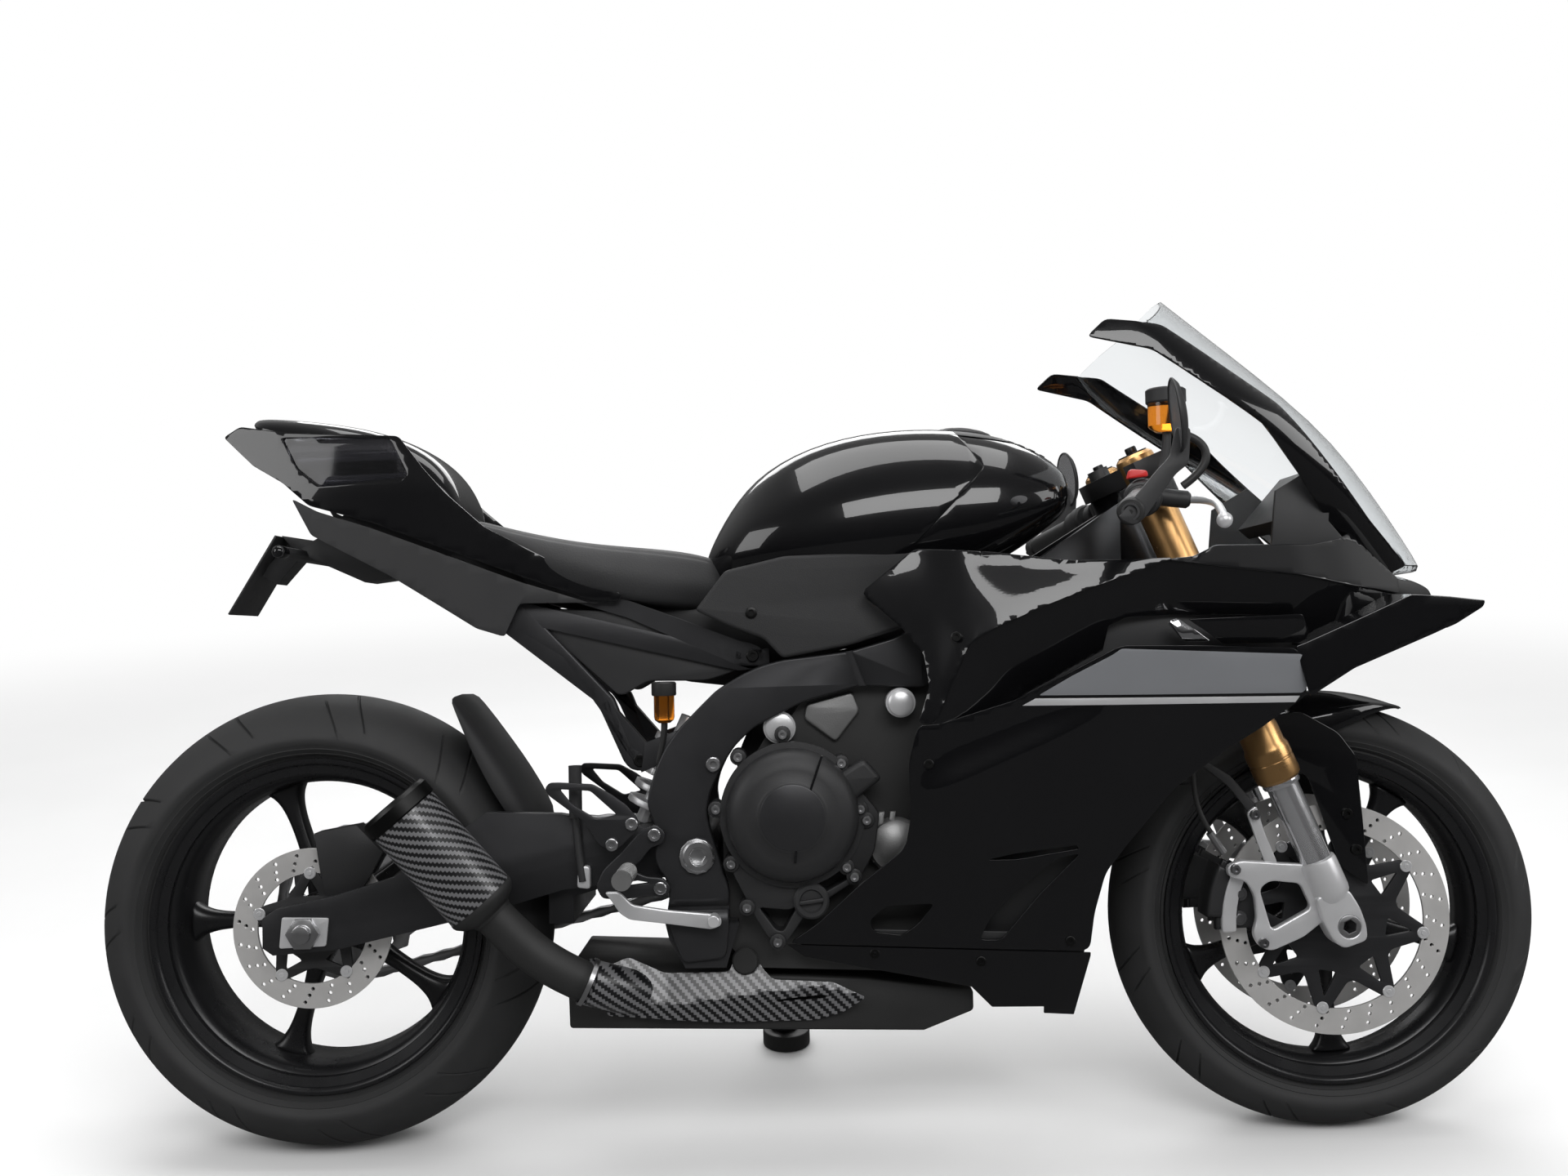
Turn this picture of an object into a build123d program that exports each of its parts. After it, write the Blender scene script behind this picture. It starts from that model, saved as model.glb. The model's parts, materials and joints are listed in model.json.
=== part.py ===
from build123d import *
import os
from math import asin, atan2, cos, degrees, hypot, radians, sin, sqrt, tan

# A sport motorcycle with full fairing, parked on its side stand.
# Design frame: X runs forward from the rear axle, Y to the left, Z up from the ground,
# with the motorcycle upright.  At the end every piece is leaned over to its parked place.
# All sizes are millimetres, all angles degrees.

# --- driving dimensions -------------------------------------------------------------
WHEELBASE = 1420
RAKE = 22.6
TRAIL = 94
LEAN = 9
MIDDLE = 700                    # the parked origin lies this far ahead of the rear axle
PARK_SIDE = 151.5              # and this far left of the tyre contact line

REAR_RADIUS = 320
REAR_CROWN = 107
FRONT_RADIUS = 300
FRONT_CROWN = 67
CROWN_ANGLES = (-62, -42, -21, 0, 21, 42, 62)
REAR_PROFILE = 87.7             # the tyre's height over the rim's edge
FRONT_PROFILE = 67.7
REAR_LIP = 77                   # half-width over the rim's lips
FRONT_LIP = 51
RIM_WALL = 7
REAR_HUB_HALF = 62
FRONT_HUB_HALF = 52
FACETS = 32
ROUND = 16                      # sides of the smaller rounds that nothing turns on
SPOKES = 5
REAR_SPOKE_START = 37
FRONT_SPOKE_START = 57

AXLE_RADIUS = 12.5
FIT = 0.05                      # running fit on the radius
BRAKE_GAP = 5                   # between a disc's face and its caliper
GAP = 0.3                       # between faces of bodies that turn past each other
PANEL = 4                       # wall of the bodywork

FRONT_DISC_RADIUS = 160
FRONT_DISC_SIDE = 65
REAR_DISC_RADIUS = 110
REAR_DISC_SIDE = 88
DISC = 5

FORK_SIDE = 105
FORK_OUTER = 27
FORK_STANCHION = 21.5
FORK_TOP = 705                  # along the leg, up from the front axle
FORK_COLLAR = 214
STEM_RADIUS = 15
HEAD_WALL = 13
LOWER_YOKE = 470
UPPER_YOKE = 668
YOKE = 26

PITCH = 15.875
REAR_TEETH = 44
FRONT_TEETH = 16
CHAIN_SIDE = 110
CHAIN_WIDTH = 16
SHAFT_POCKET = 4                # from the chain's inner side to the gearbox's wall
PLATE_HALF = 7.2
WAIST_HALF = 5.4
SPROCKET = 7
COUNTERSHAFT = (620, 402)

PIVOT = (538, 417)
PIVOT_RADIUS = 12
FRAME_OUT = 148
FRAME_IN = 124

STAND_FOOT = (649, 295)         # on the floor: forward, and left of the contact line
PAD_RADIUS = 38.1
PAD = 25.4
STAND_REACH = (20, 135, -170)   # from the stand's pivot to its foot
STAND_AXIS_DIR = (0.22, 0.751, 0.622)
STAND_EYE = 17

AXLE_Z = REAR_RADIUS
FORK_OFFSET = FRONT_RADIUS * sin(radians(RAKE)) - TRAIL * cos(radians(RAKE))

# The steered parts are drawn upright about the fork: u forward, v left, w up the leg.
FORK = Plane(
    origin=(WHEELBASE, 0, FRONT_RADIUS),
    x_dir=(cos(radians(RAKE)), 0, sin(radians(RAKE))),
    z_dir=(-sin(radians(RAKE)), 0, cos(radians(RAKE))),
)
PARKED = Location((-MIDDLE, -PARK_SIDE, 0)) * Location((0, 0, 0), (-LEAN, 0, 0))


def side(y):
    """The side view at a distance y left of the middle, drawn as (forward, up)."""
    return Plane(origin=(0, y, 0), x_dir=(1, 0, 0), z_dir=(0, -1, 0))


def side_at(x, y, z):
    """The same view, drawn about a centre of its own."""
    return Plane(origin=(x, y, z), x_dir=(1, 0, 0), z_dir=(0, -1, 0))


def across(x):
    """The view from the front at a distance x ahead of the rear axle, drawn as (left, up)."""
    return Plane.YZ.offset(x)


def around(axle_x, axle_z, turn, outline):
    """Points of an outline drawn as (y, radius), at one turn about an axle along Y."""
    return [
        (axle_x + r * cos(radians(turn)), y, axle_z + r * sin(radians(turn))) for y, r in outline
    ]


def skin(sections):
    """A solid of flat faces between outlines that have the same number of corners."""
    rings = [sections[0], sections[-1]]
    for near, far in zip(sections, sections[1:]):
        middle = sum((Vector(*p) for p in near + far), Vector()) / (2 * len(near))
        for k in range(len(near)):
            a, b, c, d = (Vector(*p) for p in (near[k - 1], near[k], far[k], far[k - 1]))
            if abs((b - a).cross(d - a).dot(c - a)) < 1e-3:
                rings.append((a, b, c, d))
            elif ((a + c) / 2 - middle).length > ((b + d) / 2 - middle).length:
                rings += [(a, b, c), (a, c, d)]
            else:
                rings += [(a, b, d), (b, c, d)]
    return Solid(Shell([Face(Wire.make_polygon(ring, close=True)) for ring in rings]))


def ring(x, y, z, radius, sides):
    """Corners of a flat-sided round in the side view at a distance y from the middle."""
    turns = [radians(360 * k / sides) for k in range(sides)]
    return [(x + radius * cos(turn), y, z + radius * sin(turn)) for turn in turns]


def bent(points, radius, steps):
    """A polyline with each of its corners rounded in a few straight steps."""
    corners = [Vector(*point) for point in points]
    path = [corners[0]]
    for before, corner, after in zip(corners, corners[1:], corners[2:]):
        back, on = (before - corner).normalized(), (after - corner).normalized()
        half = radians(back.get_angle(on)) / 2
        reach = radius / tan(half)
        centre = corner + (back + on).normalized() * (radius / sin(half))
        start, end = corner + back * reach - centre, corner + on * reach - centre
        path += [
            centre + (start * (steps - k) + end * k).normalized() * radius
            for k in range(steps + 1)
        ]
    return path + [corners[-1]]


def pipe(path, radius, sides=8):
    """A flat-sided pipe along a path, mitred where the path turns."""
    sections = []
    for k, point in enumerate(path):
        come = (point - path[max(k - 1, 0)]).normalized() if k else None
        go = (path[k + 1] - point).normalized() if k + 1 < len(path) else come
        come = come or go
        along = (come + go).normalized()
        across_y = (Vector(0, 1, 0) - along * along.Y).normalized()
        up = along.cross(across_y)
        stretch = 1 / along.dot(go)
        sections.append([
            tuple(point + across_y * (radius * cos(radians(turn)))
                  + up * (stretch * radius * sin(radians(turn))))
            for turn in (360 * (k + 0.5) / sides for k in range(sides))
        ])
    return skin(sections)


def pitch_radius(teeth):
    return PITCH / 2 / sin(radians(180 / teeth))


# --- wheels --------------------------------------------------------------------------
# The large rounds of the wheels are drawn with FACETS sides; bores that turn are true circles.
WHEELS = (
    # name, x, radius, height over the rim, crown, lip, hub half-width, hub radius,
    # spoke half-depth, first spoke
    ("rear", 0, REAR_RADIUS, REAR_PROFILE, REAR_CROWN, REAR_LIP, REAR_HUB_HALF, 44, 22,
     REAR_SPOKE_START),
    ("front", WHEELBASE, FRONT_RADIUS, FRONT_PROFILE, FRONT_CROWN, FRONT_LIP, FRONT_HUB_HALF, 36,
     16, FRONT_SPOKE_START),
)
SPOKE_EDGE = (
    # share of the well's radius, half-width
    (0.16, 25), (0.30, 17), (0.55, 11.5), (0.78, 13), (0.92, 20), (1.012, 34),
)
SEAT_DROP = 14                  # the bead's seat below the rim's edge
WELL_DROP = 15                  # the well's floor below the bead's seat

wheels = {}
for name, x, radius, profile, crown, lip, hub_half, hub_radius, depth, start in WHEELS:
    rim_radius = radius - profile
    bead = lip - RIM_WALL + 1
    seat_radius = rim_radius - SEAT_DROP
    well_radius = seat_radius - WELL_DROP - RIM_WALL
    tread = [
        (crown * sin(radians(angle)), radius - crown + crown * cos(radians(angle)))
        for angle in CROWN_ANGLES
    ]
    widest, shoulder = tread[-1]
    dish = [(widest + 0.01, shoulder), (widest - 10, rim_radius + 7), (bead, rim_radius),
            (bead, seat_radius)]
    hollow = [
        (-lip, rim_radius - 5), (-bead, seat_radius - RIM_WALL), (-bead + 26, well_radius),
        (bead - 26, well_radius), (bead, seat_radius - RIM_WALL), (lip, rim_radius - 5),
    ]

    barrel = [(lip, rim_radius), (bead, rim_radius), (bead, seat_radius)]

    with BuildPart() as tyre:
        add(skin([ring(x, y, radius, r, FACETS) for y, r in tread]))
        inside = [(-y, r) for y, r in dish] + dish[::-1]
        add(skin([ring(x, y, radius, r, FACETS) for y, r in inside]), mode=Mode.SUBTRACT)

    with BuildPart() as rim:
        outside = [(-y, r) for y, r in barrel] + barrel[::-1]
        add(skin([ring(x, y, radius, r, FACETS) for y, r in outside]))
        add(skin([ring(x, y, radius, r, FACETS) for y, r in hollow]), mode=Mode.SUBTRACT)
        with BuildSketch(side_at(x, hub_half, radius)):
            RegularPolygon(hub_radius, ROUND)
        extrude(amount=2 * hub_half)
        with BuildSketch(side_at(x, depth, radius)):
            with PolarLocations(0, SPOKES, start_angle=start):
                Polygon(
                    *[(share * well_radius, w) for share, w in SPOKE_EDGE],
                    *[(share * well_radius, -w) for share, w in reversed(SPOKE_EDGE)],
                )
        extrude(amount=2 * depth)
        with BuildSketch(side_at(x, hub_half, radius)):
            Circle(AXLE_RADIUS + FIT)
        extrude(amount=2 * hub_half, mode=Mode.SUBTRACT)
    wheels[name] = (tyre, rim)

rear_tyre, rear_rim = wheels["rear"]
front_tyre, front_rim = wheels["front"]
HUB_BORE = AXLE_RADIUS + 5.5    # discs and sprocket clear the axle by more than a running fit

# Each disc is a ring on a five-armed carrier that seats on the hub's end.
with BuildPart() as rear_disc:
    with BuildSketch(side_at(0, -REAR_DISC_SIDE + DISC / 2, AXLE_Z)):
        RegularPolygon(REAR_DISC_RADIUS, FACETS)
        RegularPolygon(REAR_DISC_RADIUS - 34, FACETS, mode=Mode.SUBTRACT)
        with PolarLocations(58, 5, start_angle=20):
            Rectangle(44, 18)
        RegularPolygon(46, ROUND)
        RegularPolygon(HUB_BORE, ROUND, mode=Mode.SUBTRACT)
    extrude(amount=DISC)
    with BuildSketch(side_at(0, -REAR_HUB_HALF, AXLE_Z)):
        RegularPolygon(40, ROUND)
        RegularPolygon(HUB_BORE, ROUND, mode=Mode.SUBTRACT)
    extrude(amount=REAR_DISC_SIDE - DISC / 2 - REAR_HUB_HALF)

with BuildPart() as front_discs:
    with BuildSketch(side_at(WHEELBASE, -FRONT_DISC_SIDE + DISC / 2, FRONT_RADIUS)):
        RegularPolygon(FRONT_DISC_RADIUS, FACETS)
        RegularPolygon(FRONT_DISC_RADIUS - 36, FACETS, mode=Mode.SUBTRACT)
        with PolarLocations(84, 5, start_angle=30):
            Rectangle(92, 30)
        RegularPolygon(48, ROUND)
        RegularPolygon(HUB_BORE, ROUND, mode=Mode.SUBTRACT)
    extrude(amount=DISC)
    with BuildSketch(side_at(WHEELBASE, -FRONT_HUB_HALF, FRONT_RADIUS)):
        RegularPolygon(34, ROUND)
        RegularPolygon(HUB_BORE, ROUND, mode=Mode.SUBTRACT)
    extrude(amount=FRONT_DISC_SIDE - DISC / 2 - FRONT_HUB_HALF)
    mirror(about=Plane.XZ)

# --- chain drive ---------------------------------------------------------------------
REAR_PITCH = pitch_radius(REAR_TEETH)
FRONT_PITCH = pitch_radius(FRONT_TEETH)
TOOTH_ROOM = 1.2                # the sprocket's tips stay this far inside the chain's band


def sprocket_outline(teeth, tip):
    """Pointed teeth round a circle, every other tooth of the full number."""
    root = tip - 7
    return [
        ((tip if k % 2 else root) * cos(radians(k * 360 / teeth)),
         (tip if k % 2 else root) * sin(radians(k * 360 / teeth)))
        for k in range(teeth)
    ]


with BuildPart() as rear_sprocket:
    with BuildSketch(side_at(0, CHAIN_SIDE + SPROCKET / 2, AXLE_Z)):
        Polygon(*sprocket_outline(REAR_TEETH, REAR_PITCH - PLATE_HALF - TOOTH_ROOM))
        with PolarLocations(70, 5, start_angle=18):
            RegularPolygon(16, 8, mode=Mode.SUBTRACT)
        RegularPolygon(HUB_BORE, ROUND, mode=Mode.SUBTRACT)
    extrude(amount=SPROCKET)
    with BuildSketch(side_at(0, CHAIN_SIDE - SPROCKET / 2, AXLE_Z)):
        RegularPolygon(46, ROUND)
        RegularPolygon(HUB_BORE, ROUND, mode=Mode.SUBTRACT)
    extrude(amount=CHAIN_SIDE - SPROCKET / 2 - REAR_HUB_HALF)

# The chain's band follows both sprockets; its edge is waisted at every other pin.
centres = hypot(COUNTERSHAFT[0], COUNTERSHAFT[1] - AXLE_Z)
tilt = degrees(asin((COUNTERSHAFT[1] - AXLE_Z) / centres))
wrap = degrees(asin((REAR_PITCH - FRONT_PITCH) / centres))
STRAIGHT = sqrt(centres**2 - (REAR_PITCH - FRONT_PITCH) ** 2)


def chain_edge(half_plate, half_waist, outward):
    """Corners of the chain's edge, one link apart, all the way round."""
    points = []
    runs = (
        # centre, radius, first angle, sweep, straight run that follows
        ((0, AXLE_Z), REAR_PITCH, 90 + tilt - wrap, 180 + 2 * wrap),
        (COUNTERSHAFT, FRONT_PITCH, 270 + tilt + wrap, 180 - 2 * wrap),
    )
    count = 0
    for (cx, cz), radius, first, sweep in runs:
        bends = round(radians(sweep) * radius / PITCH / 2) * 2
        for k in range(bends):
            half = half_plate if count % 2 else half_waist
            r = radius + outward * half
            angle = radians(first + sweep * k / bends)
            points.append((cx + r * cos(angle), cz + r * sin(angle)))
            count += 1
        angle = radians(first + sweep)
        steps = round(STRAIGHT / PITCH / 2) * 2
        for k in range(steps):
            half = half_plate if count % 2 else half_waist
            r = radius + outward * half
            points.append((
                cx + r * cos(angle) - sin(angle) * STRAIGHT * k / steps,
                cz + r * sin(angle) + cos(angle) * STRAIGHT * k / steps,
            ))
            count += 1
    return points


with BuildPart() as chain:
    with BuildSketch(side(CHAIN_SIDE + CHAIN_WIDTH / 2)):
        Polygon(*chain_edge(PLATE_HALF, WAIST_HALF, 1))
        Polygon(*chain_edge(PLATE_HALF, WAIST_HALF, -1), mode=Mode.SUBTRACT)
    extrude(amount=CHAIN_WIDTH)
    # the output sprocket fills the front loop and stands on the gearbox's shaft
    with BuildSketch(side_at(COUNTERSHAFT[0], CHAIN_SIDE + SPROCKET / 2, COUNTERSHAFT[1])):
        RegularPolygon(FRONT_PITCH, 16)
    extrude(amount=SPROCKET)
    with BuildSketch(side_at(COUNTERSHAFT[0], CHAIN_SIDE + SPROCKET / 2 + 4, COUNTERSHAFT[1])):
        RegularPolygon(16, 12)
    extrude(amount=SPROCKET / 2 + 4 + CHAIN_WIDTH / 2 + SHAFT_POCKET)

# --- front fork and what turns with it -----------------------------------------------
def up_fork(w):
    """The plane square to the fork legs at a distance w above the front axle."""
    return FORK.offset(w)


def fork_side(y):
    """The side view square to the fork's rake, drawn as (u, w) about the front axle."""
    return Plane(FORK.from_local_coords((0, y, 0)), x_dir=FORK.x_dir, z_dir=(0, -1, 0))


with BuildPart() as fork_legs:
    for hand in (-1, 1):
        with BuildSketch(up_fork(FORK_COLLAR)):
            with Locations((0, hand * FORK_SIDE)):
                RegularPolygon(FORK_OUTER + 4, ROUND)
                RegularPolygon(FORK_STANCHION, ROUND, mode=Mode.SUBTRACT)
        extrude(amount=24)
        with BuildSketch(up_fork(FORK_COLLAR + 24)):
            with Locations((0, hand * FORK_SIDE)):
                RegularPolygon(FORK_OUTER, ROUND)
        extrude(amount=FORK_TOP - FORK_COLLAR - 24)

# Stanchion, axle clamp and axle of the two legs, tied by the axle itself.
AXLE_HALF = FORK_SIDE - 10      # the axle's round part ends inside the clamps
with BuildPart() as fork_bottoms:
    for hand in (-1, 1):
        with BuildSketch(up_fork(70)):
            with Locations((0, hand * FORK_SIDE)):
                RegularPolygon(FORK_STANCHION, ROUND)
        extrude(amount=FORK_COLLAR + 10 - 70)
        with BuildSketch(side_at(WHEELBASE, hand * FORK_SIDE + 16, FRONT_RADIUS)):
            RegularPolygon(30, 12)
        extrude(amount=32)
        with BuildSketch(up_fork(0)):
            with Locations((0, hand * FORK_SIDE)):
                Rectangle(50, 32)
        extrude(amount=92)
        # the caliper's lug reaches back and up from the clamp
        lug = [(-18, 22), (-100, 18), (-118, 48), (-112, 128), (-96, 128), (-88, 60), (-18, 78)]
        with BuildSketch(fork_side(hand * FORK_SIDE + 6)):
            Polygon(*lug)
        extrude(amount=12)
    with BuildSketch(side_at(WHEELBASE, AXLE_HALF, FRONT_RADIUS)):
        Circle(AXLE_RADIUS)
    extrude(amount=2 * AXLE_HALF)

with BuildPart() as fork_yokes:
    for w, depth in ((LOWER_YOKE, YOKE), (UPPER_YOKE, YOKE)):
        with BuildSketch(up_fork(w)):
            with BuildLine():
                Polyline(
                    (-FORK_OFFSET - 30, -26), (-14, -FORK_SIDE - 38), (32, -FORK_SIDE - 38),
                    (32, -FORK_SIDE + 20), (8, -40), (8, 40), (32, FORK_SIDE - 20),
                    (32, FORK_SIDE + 38), (-14, FORK_SIDE + 38), (-FORK_OFFSET - 30, 26),
                    close=True,
                )
            make_face()
            with Locations((0, -FORK_SIDE), (0, FORK_SIDE)):
                RegularPolygon(FORK_OUTER, ROUND, mode=Mode.SUBTRACT)
        extrude(amount=depth)
    with BuildSketch(up_fork(LOWER_YOKE)):
        with Locations((-FORK_OFFSET, 0)):
            Circle(STEM_RADIUS)
    extrude(amount=UPPER_YOKE + YOKE + 14 - LOWER_YOKE)

# Clip-on bars below the upper yoke, drooping outward and swept back.
BAR_W = UPPER_YOKE - 34
BAR_TIP = (WHEELBASE - 331, 340, FRONT_RADIUS + 553)
GRIPS = (
    # start and end back from the bar's tip, radius
    (10, 128, 16.5),
    (134, 178, 21),
    (-8, 8, 16),
)
with BuildPart() as handlebars:
    for hand in (-1, 1):
        root = FORK.from_local_coords((0, hand * FORK_SIDE, BAR_W + 16))
        tip = Vector(BAR_TIP[0], hand * BAR_TIP[1], BAR_TIP[2])
        away = (tip - root).normalized()
        with BuildSketch(up_fork(BAR_W)):
            with Locations((0, hand * FORK_SIDE)):
                RegularPolygon(FORK_OUTER + 10, ROUND)
                RegularPolygon(FORK_OUTER, ROUND, mode=Mode.SUBTRACT)
        extrude(amount=32)
        with BuildSketch(Plane(origin=root + away * (FORK_OUTER + 4), z_dir=away)):
            RegularPolygon(11, 10)
        extrude(amount=(tip - root).length - FORK_OUTER - 4)
        for near, far, radius in GRIPS:
            with BuildSketch(Plane(origin=tip - away * far, z_dir=away)):
                RegularPolygon(radius, 10)
            extrude(amount=far - near)

# Levers with their perches, the front reservoir and the bar-end mirrors.
LEVER_TIP = (WHEELBASE - 211, 318, FRONT_RADIUS + 541)
RESERVOIR = (WHEELBASE - 244, -185)
RESERVOIR_FOOT = FRONT_RADIUS + 670
MIRROR_RADIUS = 46
MIRROR = (WHEELBASE - 274, FRONT_RADIUS + 668)
with BuildPart() as hand_controls:
    for hand in (-1, 1):
        root = FORK.from_local_coords((0, hand * FORK_SIDE, BAR_W + 16))
        tip = Vector(BAR_TIP[0], hand * BAR_TIP[1], BAR_TIP[2])
        away = (tip - root).normalized()
        ahead = Vector(1, 0, -0.12).normalized()
        perch = tip - away * 198
        with BuildSketch(Plane(origin=perch, z_dir=away)):
            RegularPolygon(20, 10)
        extrude(amount=17)
        with BuildSketch(Plane(origin=perch + ahead * 12 + away * 8, z_dir=ahead)):
            Rectangle(26, 24)
        extrude(amount=46)
        start = perch + ahead * 50 + away * 4
        end = Vector(LEVER_TIP[0], hand * LEVER_TIP[1], LEVER_TIP[2])
        with BuildSketch(Plane(origin=start, z_dir=end - start)):
            RegularPolygon(8, 6)
        extrude(amount=(end - start).length)
        with BuildSketch(Plane(origin=end - away * 8, z_dir=away)):
            RegularPolygon(10, 8)
        extrude(amount=16)
        # the mirror's arm stands up from the bar's end and carries a round glass
        arm_side = hand * (BAR_TIP[1] + 8)
        with BuildSketch(side_at(MIRROR[0], arm_side + 3, MIRROR[1])):
            Polygon((-70, -126), (-46, -126), (6, -63), (14, -16), (0, -16), (-8, -56))
        extrude(amount=6)
        with BuildSketch(Plane(origin=(MIRROR[0], arm_side, MIRROR[1]), z_dir=(1, 0, 0.12))):
            RegularPolygon(MIRROR_RADIUS, ROUND)
        extrude(amount=11)
    with BuildSketch(side_at(RESERVOIR[0], RESERVOIR[1] + 8, RESERVOIR_FOOT)):
        Polygon((-36, -94), (10, -94), (10, 5), (-10, 5), (-10, -78), (-36, -78))
    extrude(amount=16)
    with BuildSketch(Plane.XY.offset(RESERVOIR_FOOT)):
        with Locations(RESERVOIR):
            RegularPolygon(27, ROUND)
    extrude(amount=58)
    add(handlebars.part, mode=Mode.SUBTRACT)

# Radial calipers on the fork's lugs, straddling the discs.
CALIPER = [(-150, 40), (-98, 36), (-98, 132), (-140, 124), (-163, 88)]
BRIDGE = [(-151, 72), (-163, 88), (-140, 124), (-126, 112)]
LUG_FACE = FORK_SIDE - 6
CALIPER_INSIDE = 44


with BuildPart() as front_calipers:
    outer_face = FRONT_DISC_SIDE + DISC / 2 + BRAKE_GAP
    inner_face = FRONT_DISC_SIDE - DISC / 2 - BRAKE_GAP
    for outline, near, far in ((CALIPER, outer_face, LUG_FACE), (CALIPER, CALIPER_INSIDE, inner_face),
                               (BRIDGE, CALIPER_INSIDE, LUG_FACE)):
        with BuildSketch(fork_side(-near)):
            Polygon(*outline)
        extrude(amount=far - near)
    mirror(about=Plane.XZ)

# The front mudguard wraps the tyre and its side blades reach down to the fork's bottoms.
FENDER_HALF = 74
FENDER_CLEAR = 14
FENDER_FROM = 38
FENDER_TO = 102
FENDER_ARCH = [
    (-FENDER_HALF, -70), (-FENDER_HALF, -34), (-38, -4), (0, 0), (38, -4), (FENDER_HALF, -34),
    (FENDER_HALF, -70), (FENDER_HALF - PANEL, -70), (FENDER_HALF - PANEL, -36), (36, -PANEL - 4),
    (0, -PANEL), (-36, -PANEL - 4), (-FENDER_HALF + PANEL, -36), (-FENDER_HALF + PANEL, -70),
]
ARCH_STEP = 8
with BuildPart() as front_fender:
    outer = FRONT_RADIUS + FENDER_CLEAR + PANEL
    add(skin([
        around(WHEELBASE, FRONT_RADIUS, turn, [(y, outer + drop) for y, drop in FENDER_ARCH])
        for turn in range(FENDER_FROM, FENDER_TO + 1, ARCH_STEP)
    ]))
    for hand in (-1, 1):
        blade_side = FENDER_HALF + PANEL if hand > 0 else -FENDER_HALF
        with BuildSketch(side_at(WHEELBASE, blade_side, FRONT_RADIUS)):
            Polygon((-43, 291), (10, 260), (34, 227), (40, 142), (45, 46), (6, 75), (-34, 200),
                    (-120, 240), (-110, 280))
        extrude(amount=PANEL)
    add(fork_legs.part, mode=Mode.SUBTRACT)

# --- frame and engine ----------------------------------------------------------------
SPAR = [
    (848, 705), (772, 701), (705, 685), (627, 670), (570, 633), (513, 557), (479, 491),
    (472, 414), (498, 304), (519, 266), (574, 266), (592, 324), (582, 379), (555, 435),
    (559, 512), (580, 555), (636, 609), (704, 641), (848, 638),
]
HEAD_LOW = LOWER_YOKE + YOKE + GAP
HEAD_HIGH = UPPER_YOKE - GAP
head = FORK.from_local_coords((-FORK_OFFSET, 0, (HEAD_LOW + HEAD_HIGH) / 2))
BEAM = (
    # forward, inner and outer distance from the middle, bottom, top
    (846, FRAME_IN, FRAME_OUT, 638, 705),
    (head.X - 170, 88, 118, 705, 800),
    (head.X - 24, 4, 30, head.Z - 46, head.Z + 66),
)
up_world = Vector(0, -sin(radians(LEAN)), cos(radians(LEAN)))     # plumb once parked
floor_left = Vector(0, cos(radians(LEAN)), sin(radians(LEAN)))    # level, to the left
foot = Vector(STAND_FOOT[0], 0, 0) + floor_left * STAND_FOOT[1] + up_world * (PAD + GAP)
stand_pivot = foot - Vector(*STAND_REACH)
STAND_AXIS = Vector(*STAND_AXIS_DIR).normalized()
stand_down = Vector(*STAND_REACH).normalized()
STAND = Plane(origin=stand_pivot, x_dir=stand_down, z_dir=STAND_AXIS)

lug_end = STAND.to_local_coords(Vector(575, (FRAME_IN + FRAME_OUT) / 2, 290))
lug_turn = degrees(atan2(lug_end.Y, lug_end.X))

with BuildPart() as main_frame:
    with BuildSketch(side(FRAME_OUT)):
        Polygon(*SPAR)
    extrude(amount=FRAME_OUT - FRAME_IN)
    add(skin([
        [(x, near, bottom), (x, far, bottom), (x, far, top), (x, near, top)]
        for x, near, far, bottom, top in BEAM
    ]))
    mirror(about=Plane.XZ)
    with BuildSketch(up_fork(HEAD_LOW)):
        with Locations((-FORK_OFFSET, 0)):
            RegularPolygon(STEM_RADIUS + HEAD_WALL, 16)
    extrude(amount=HEAD_HIGH - HEAD_LOW)
    with BuildSketch(up_fork(HEAD_LOW)):
        with Locations((-FORK_OFFSET, 0)):
            Circle(STEM_RADIUS + FIT)
    extrude(amount=HEAD_HIGH - HEAD_LOW, mode=Mode.SUBTRACT)
    for x, z, radius in ((560, 596, 20), (540, 290, 18)):
        with BuildSketch(side_at(x, FRAME_IN + 1, z)):
            RegularPolygon(radius, 12)
        extrude(amount=2 * FRAME_IN + 2)
    with BuildSketch(side_at(PIVOT[0], FRAME_OUT, PIVOT[1])):
        RegularPolygon(PIVOT_RADIUS, 12)
    extrude(amount=2 * FRAME_OUT, mode=Mode.SUBTRACT)
    # lug and bolt of the side stand
    with BuildSketch(STAND.offset(-7 - GAP)):
        RegularPolygon(STAND_EYE, 12)
        with Locations(Location((lug_end.X / 2, lug_end.Y / 2, 0), (0, 0, lug_turn))):
            Rectangle(hypot(lug_end.X, lug_end.Y) + 14, 26)
    extrude(amount=-12)
    with BuildSketch(STAND.offset(-8 - GAP)):
        Circle(6)
    extrude(amount=16 + GAP)

ENGINE_HALF = FRAME_IN
CHAIN_ROOM = 22
CRANKCASE = [
    (572, 300), (604, 262), (880, 250), (930, 310), (925, 470), (640, 585), (600, 520), (572, 470),
]
CYLINDERS = [(640, 560), (915, 440), (975, 610), (840, 690), (700, 645)]
CLUTCH = (666, 472)
GENERATOR = (745, 440)
with BuildPart() as engine_block:
    with BuildSketch(side(ENGINE_HALF)):
        Polygon(*CRANKCASE)
        Polygon(*CYLINDERS)
    extrude(amount=2 * ENGINE_HALF)
    # room for the chain round the output shaft
    with BuildSketch(side(ENGINE_HALF)):
        with Locations(COUNTERSHAFT):
            RegularPolygon(FRONT_PITCH + CHAIN_ROOM, 20)
        Polygon((560, 340), (630, 340), (630, 466), (560, 466))
    extrude(amount=ENGINE_HALF - CHAIN_SIDE + CHAIN_WIDTH / 2 + SHAFT_POCKET, mode=Mode.SUBTRACT)
    add(main_frame.part, mode=Mode.SUBTRACT)

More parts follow.
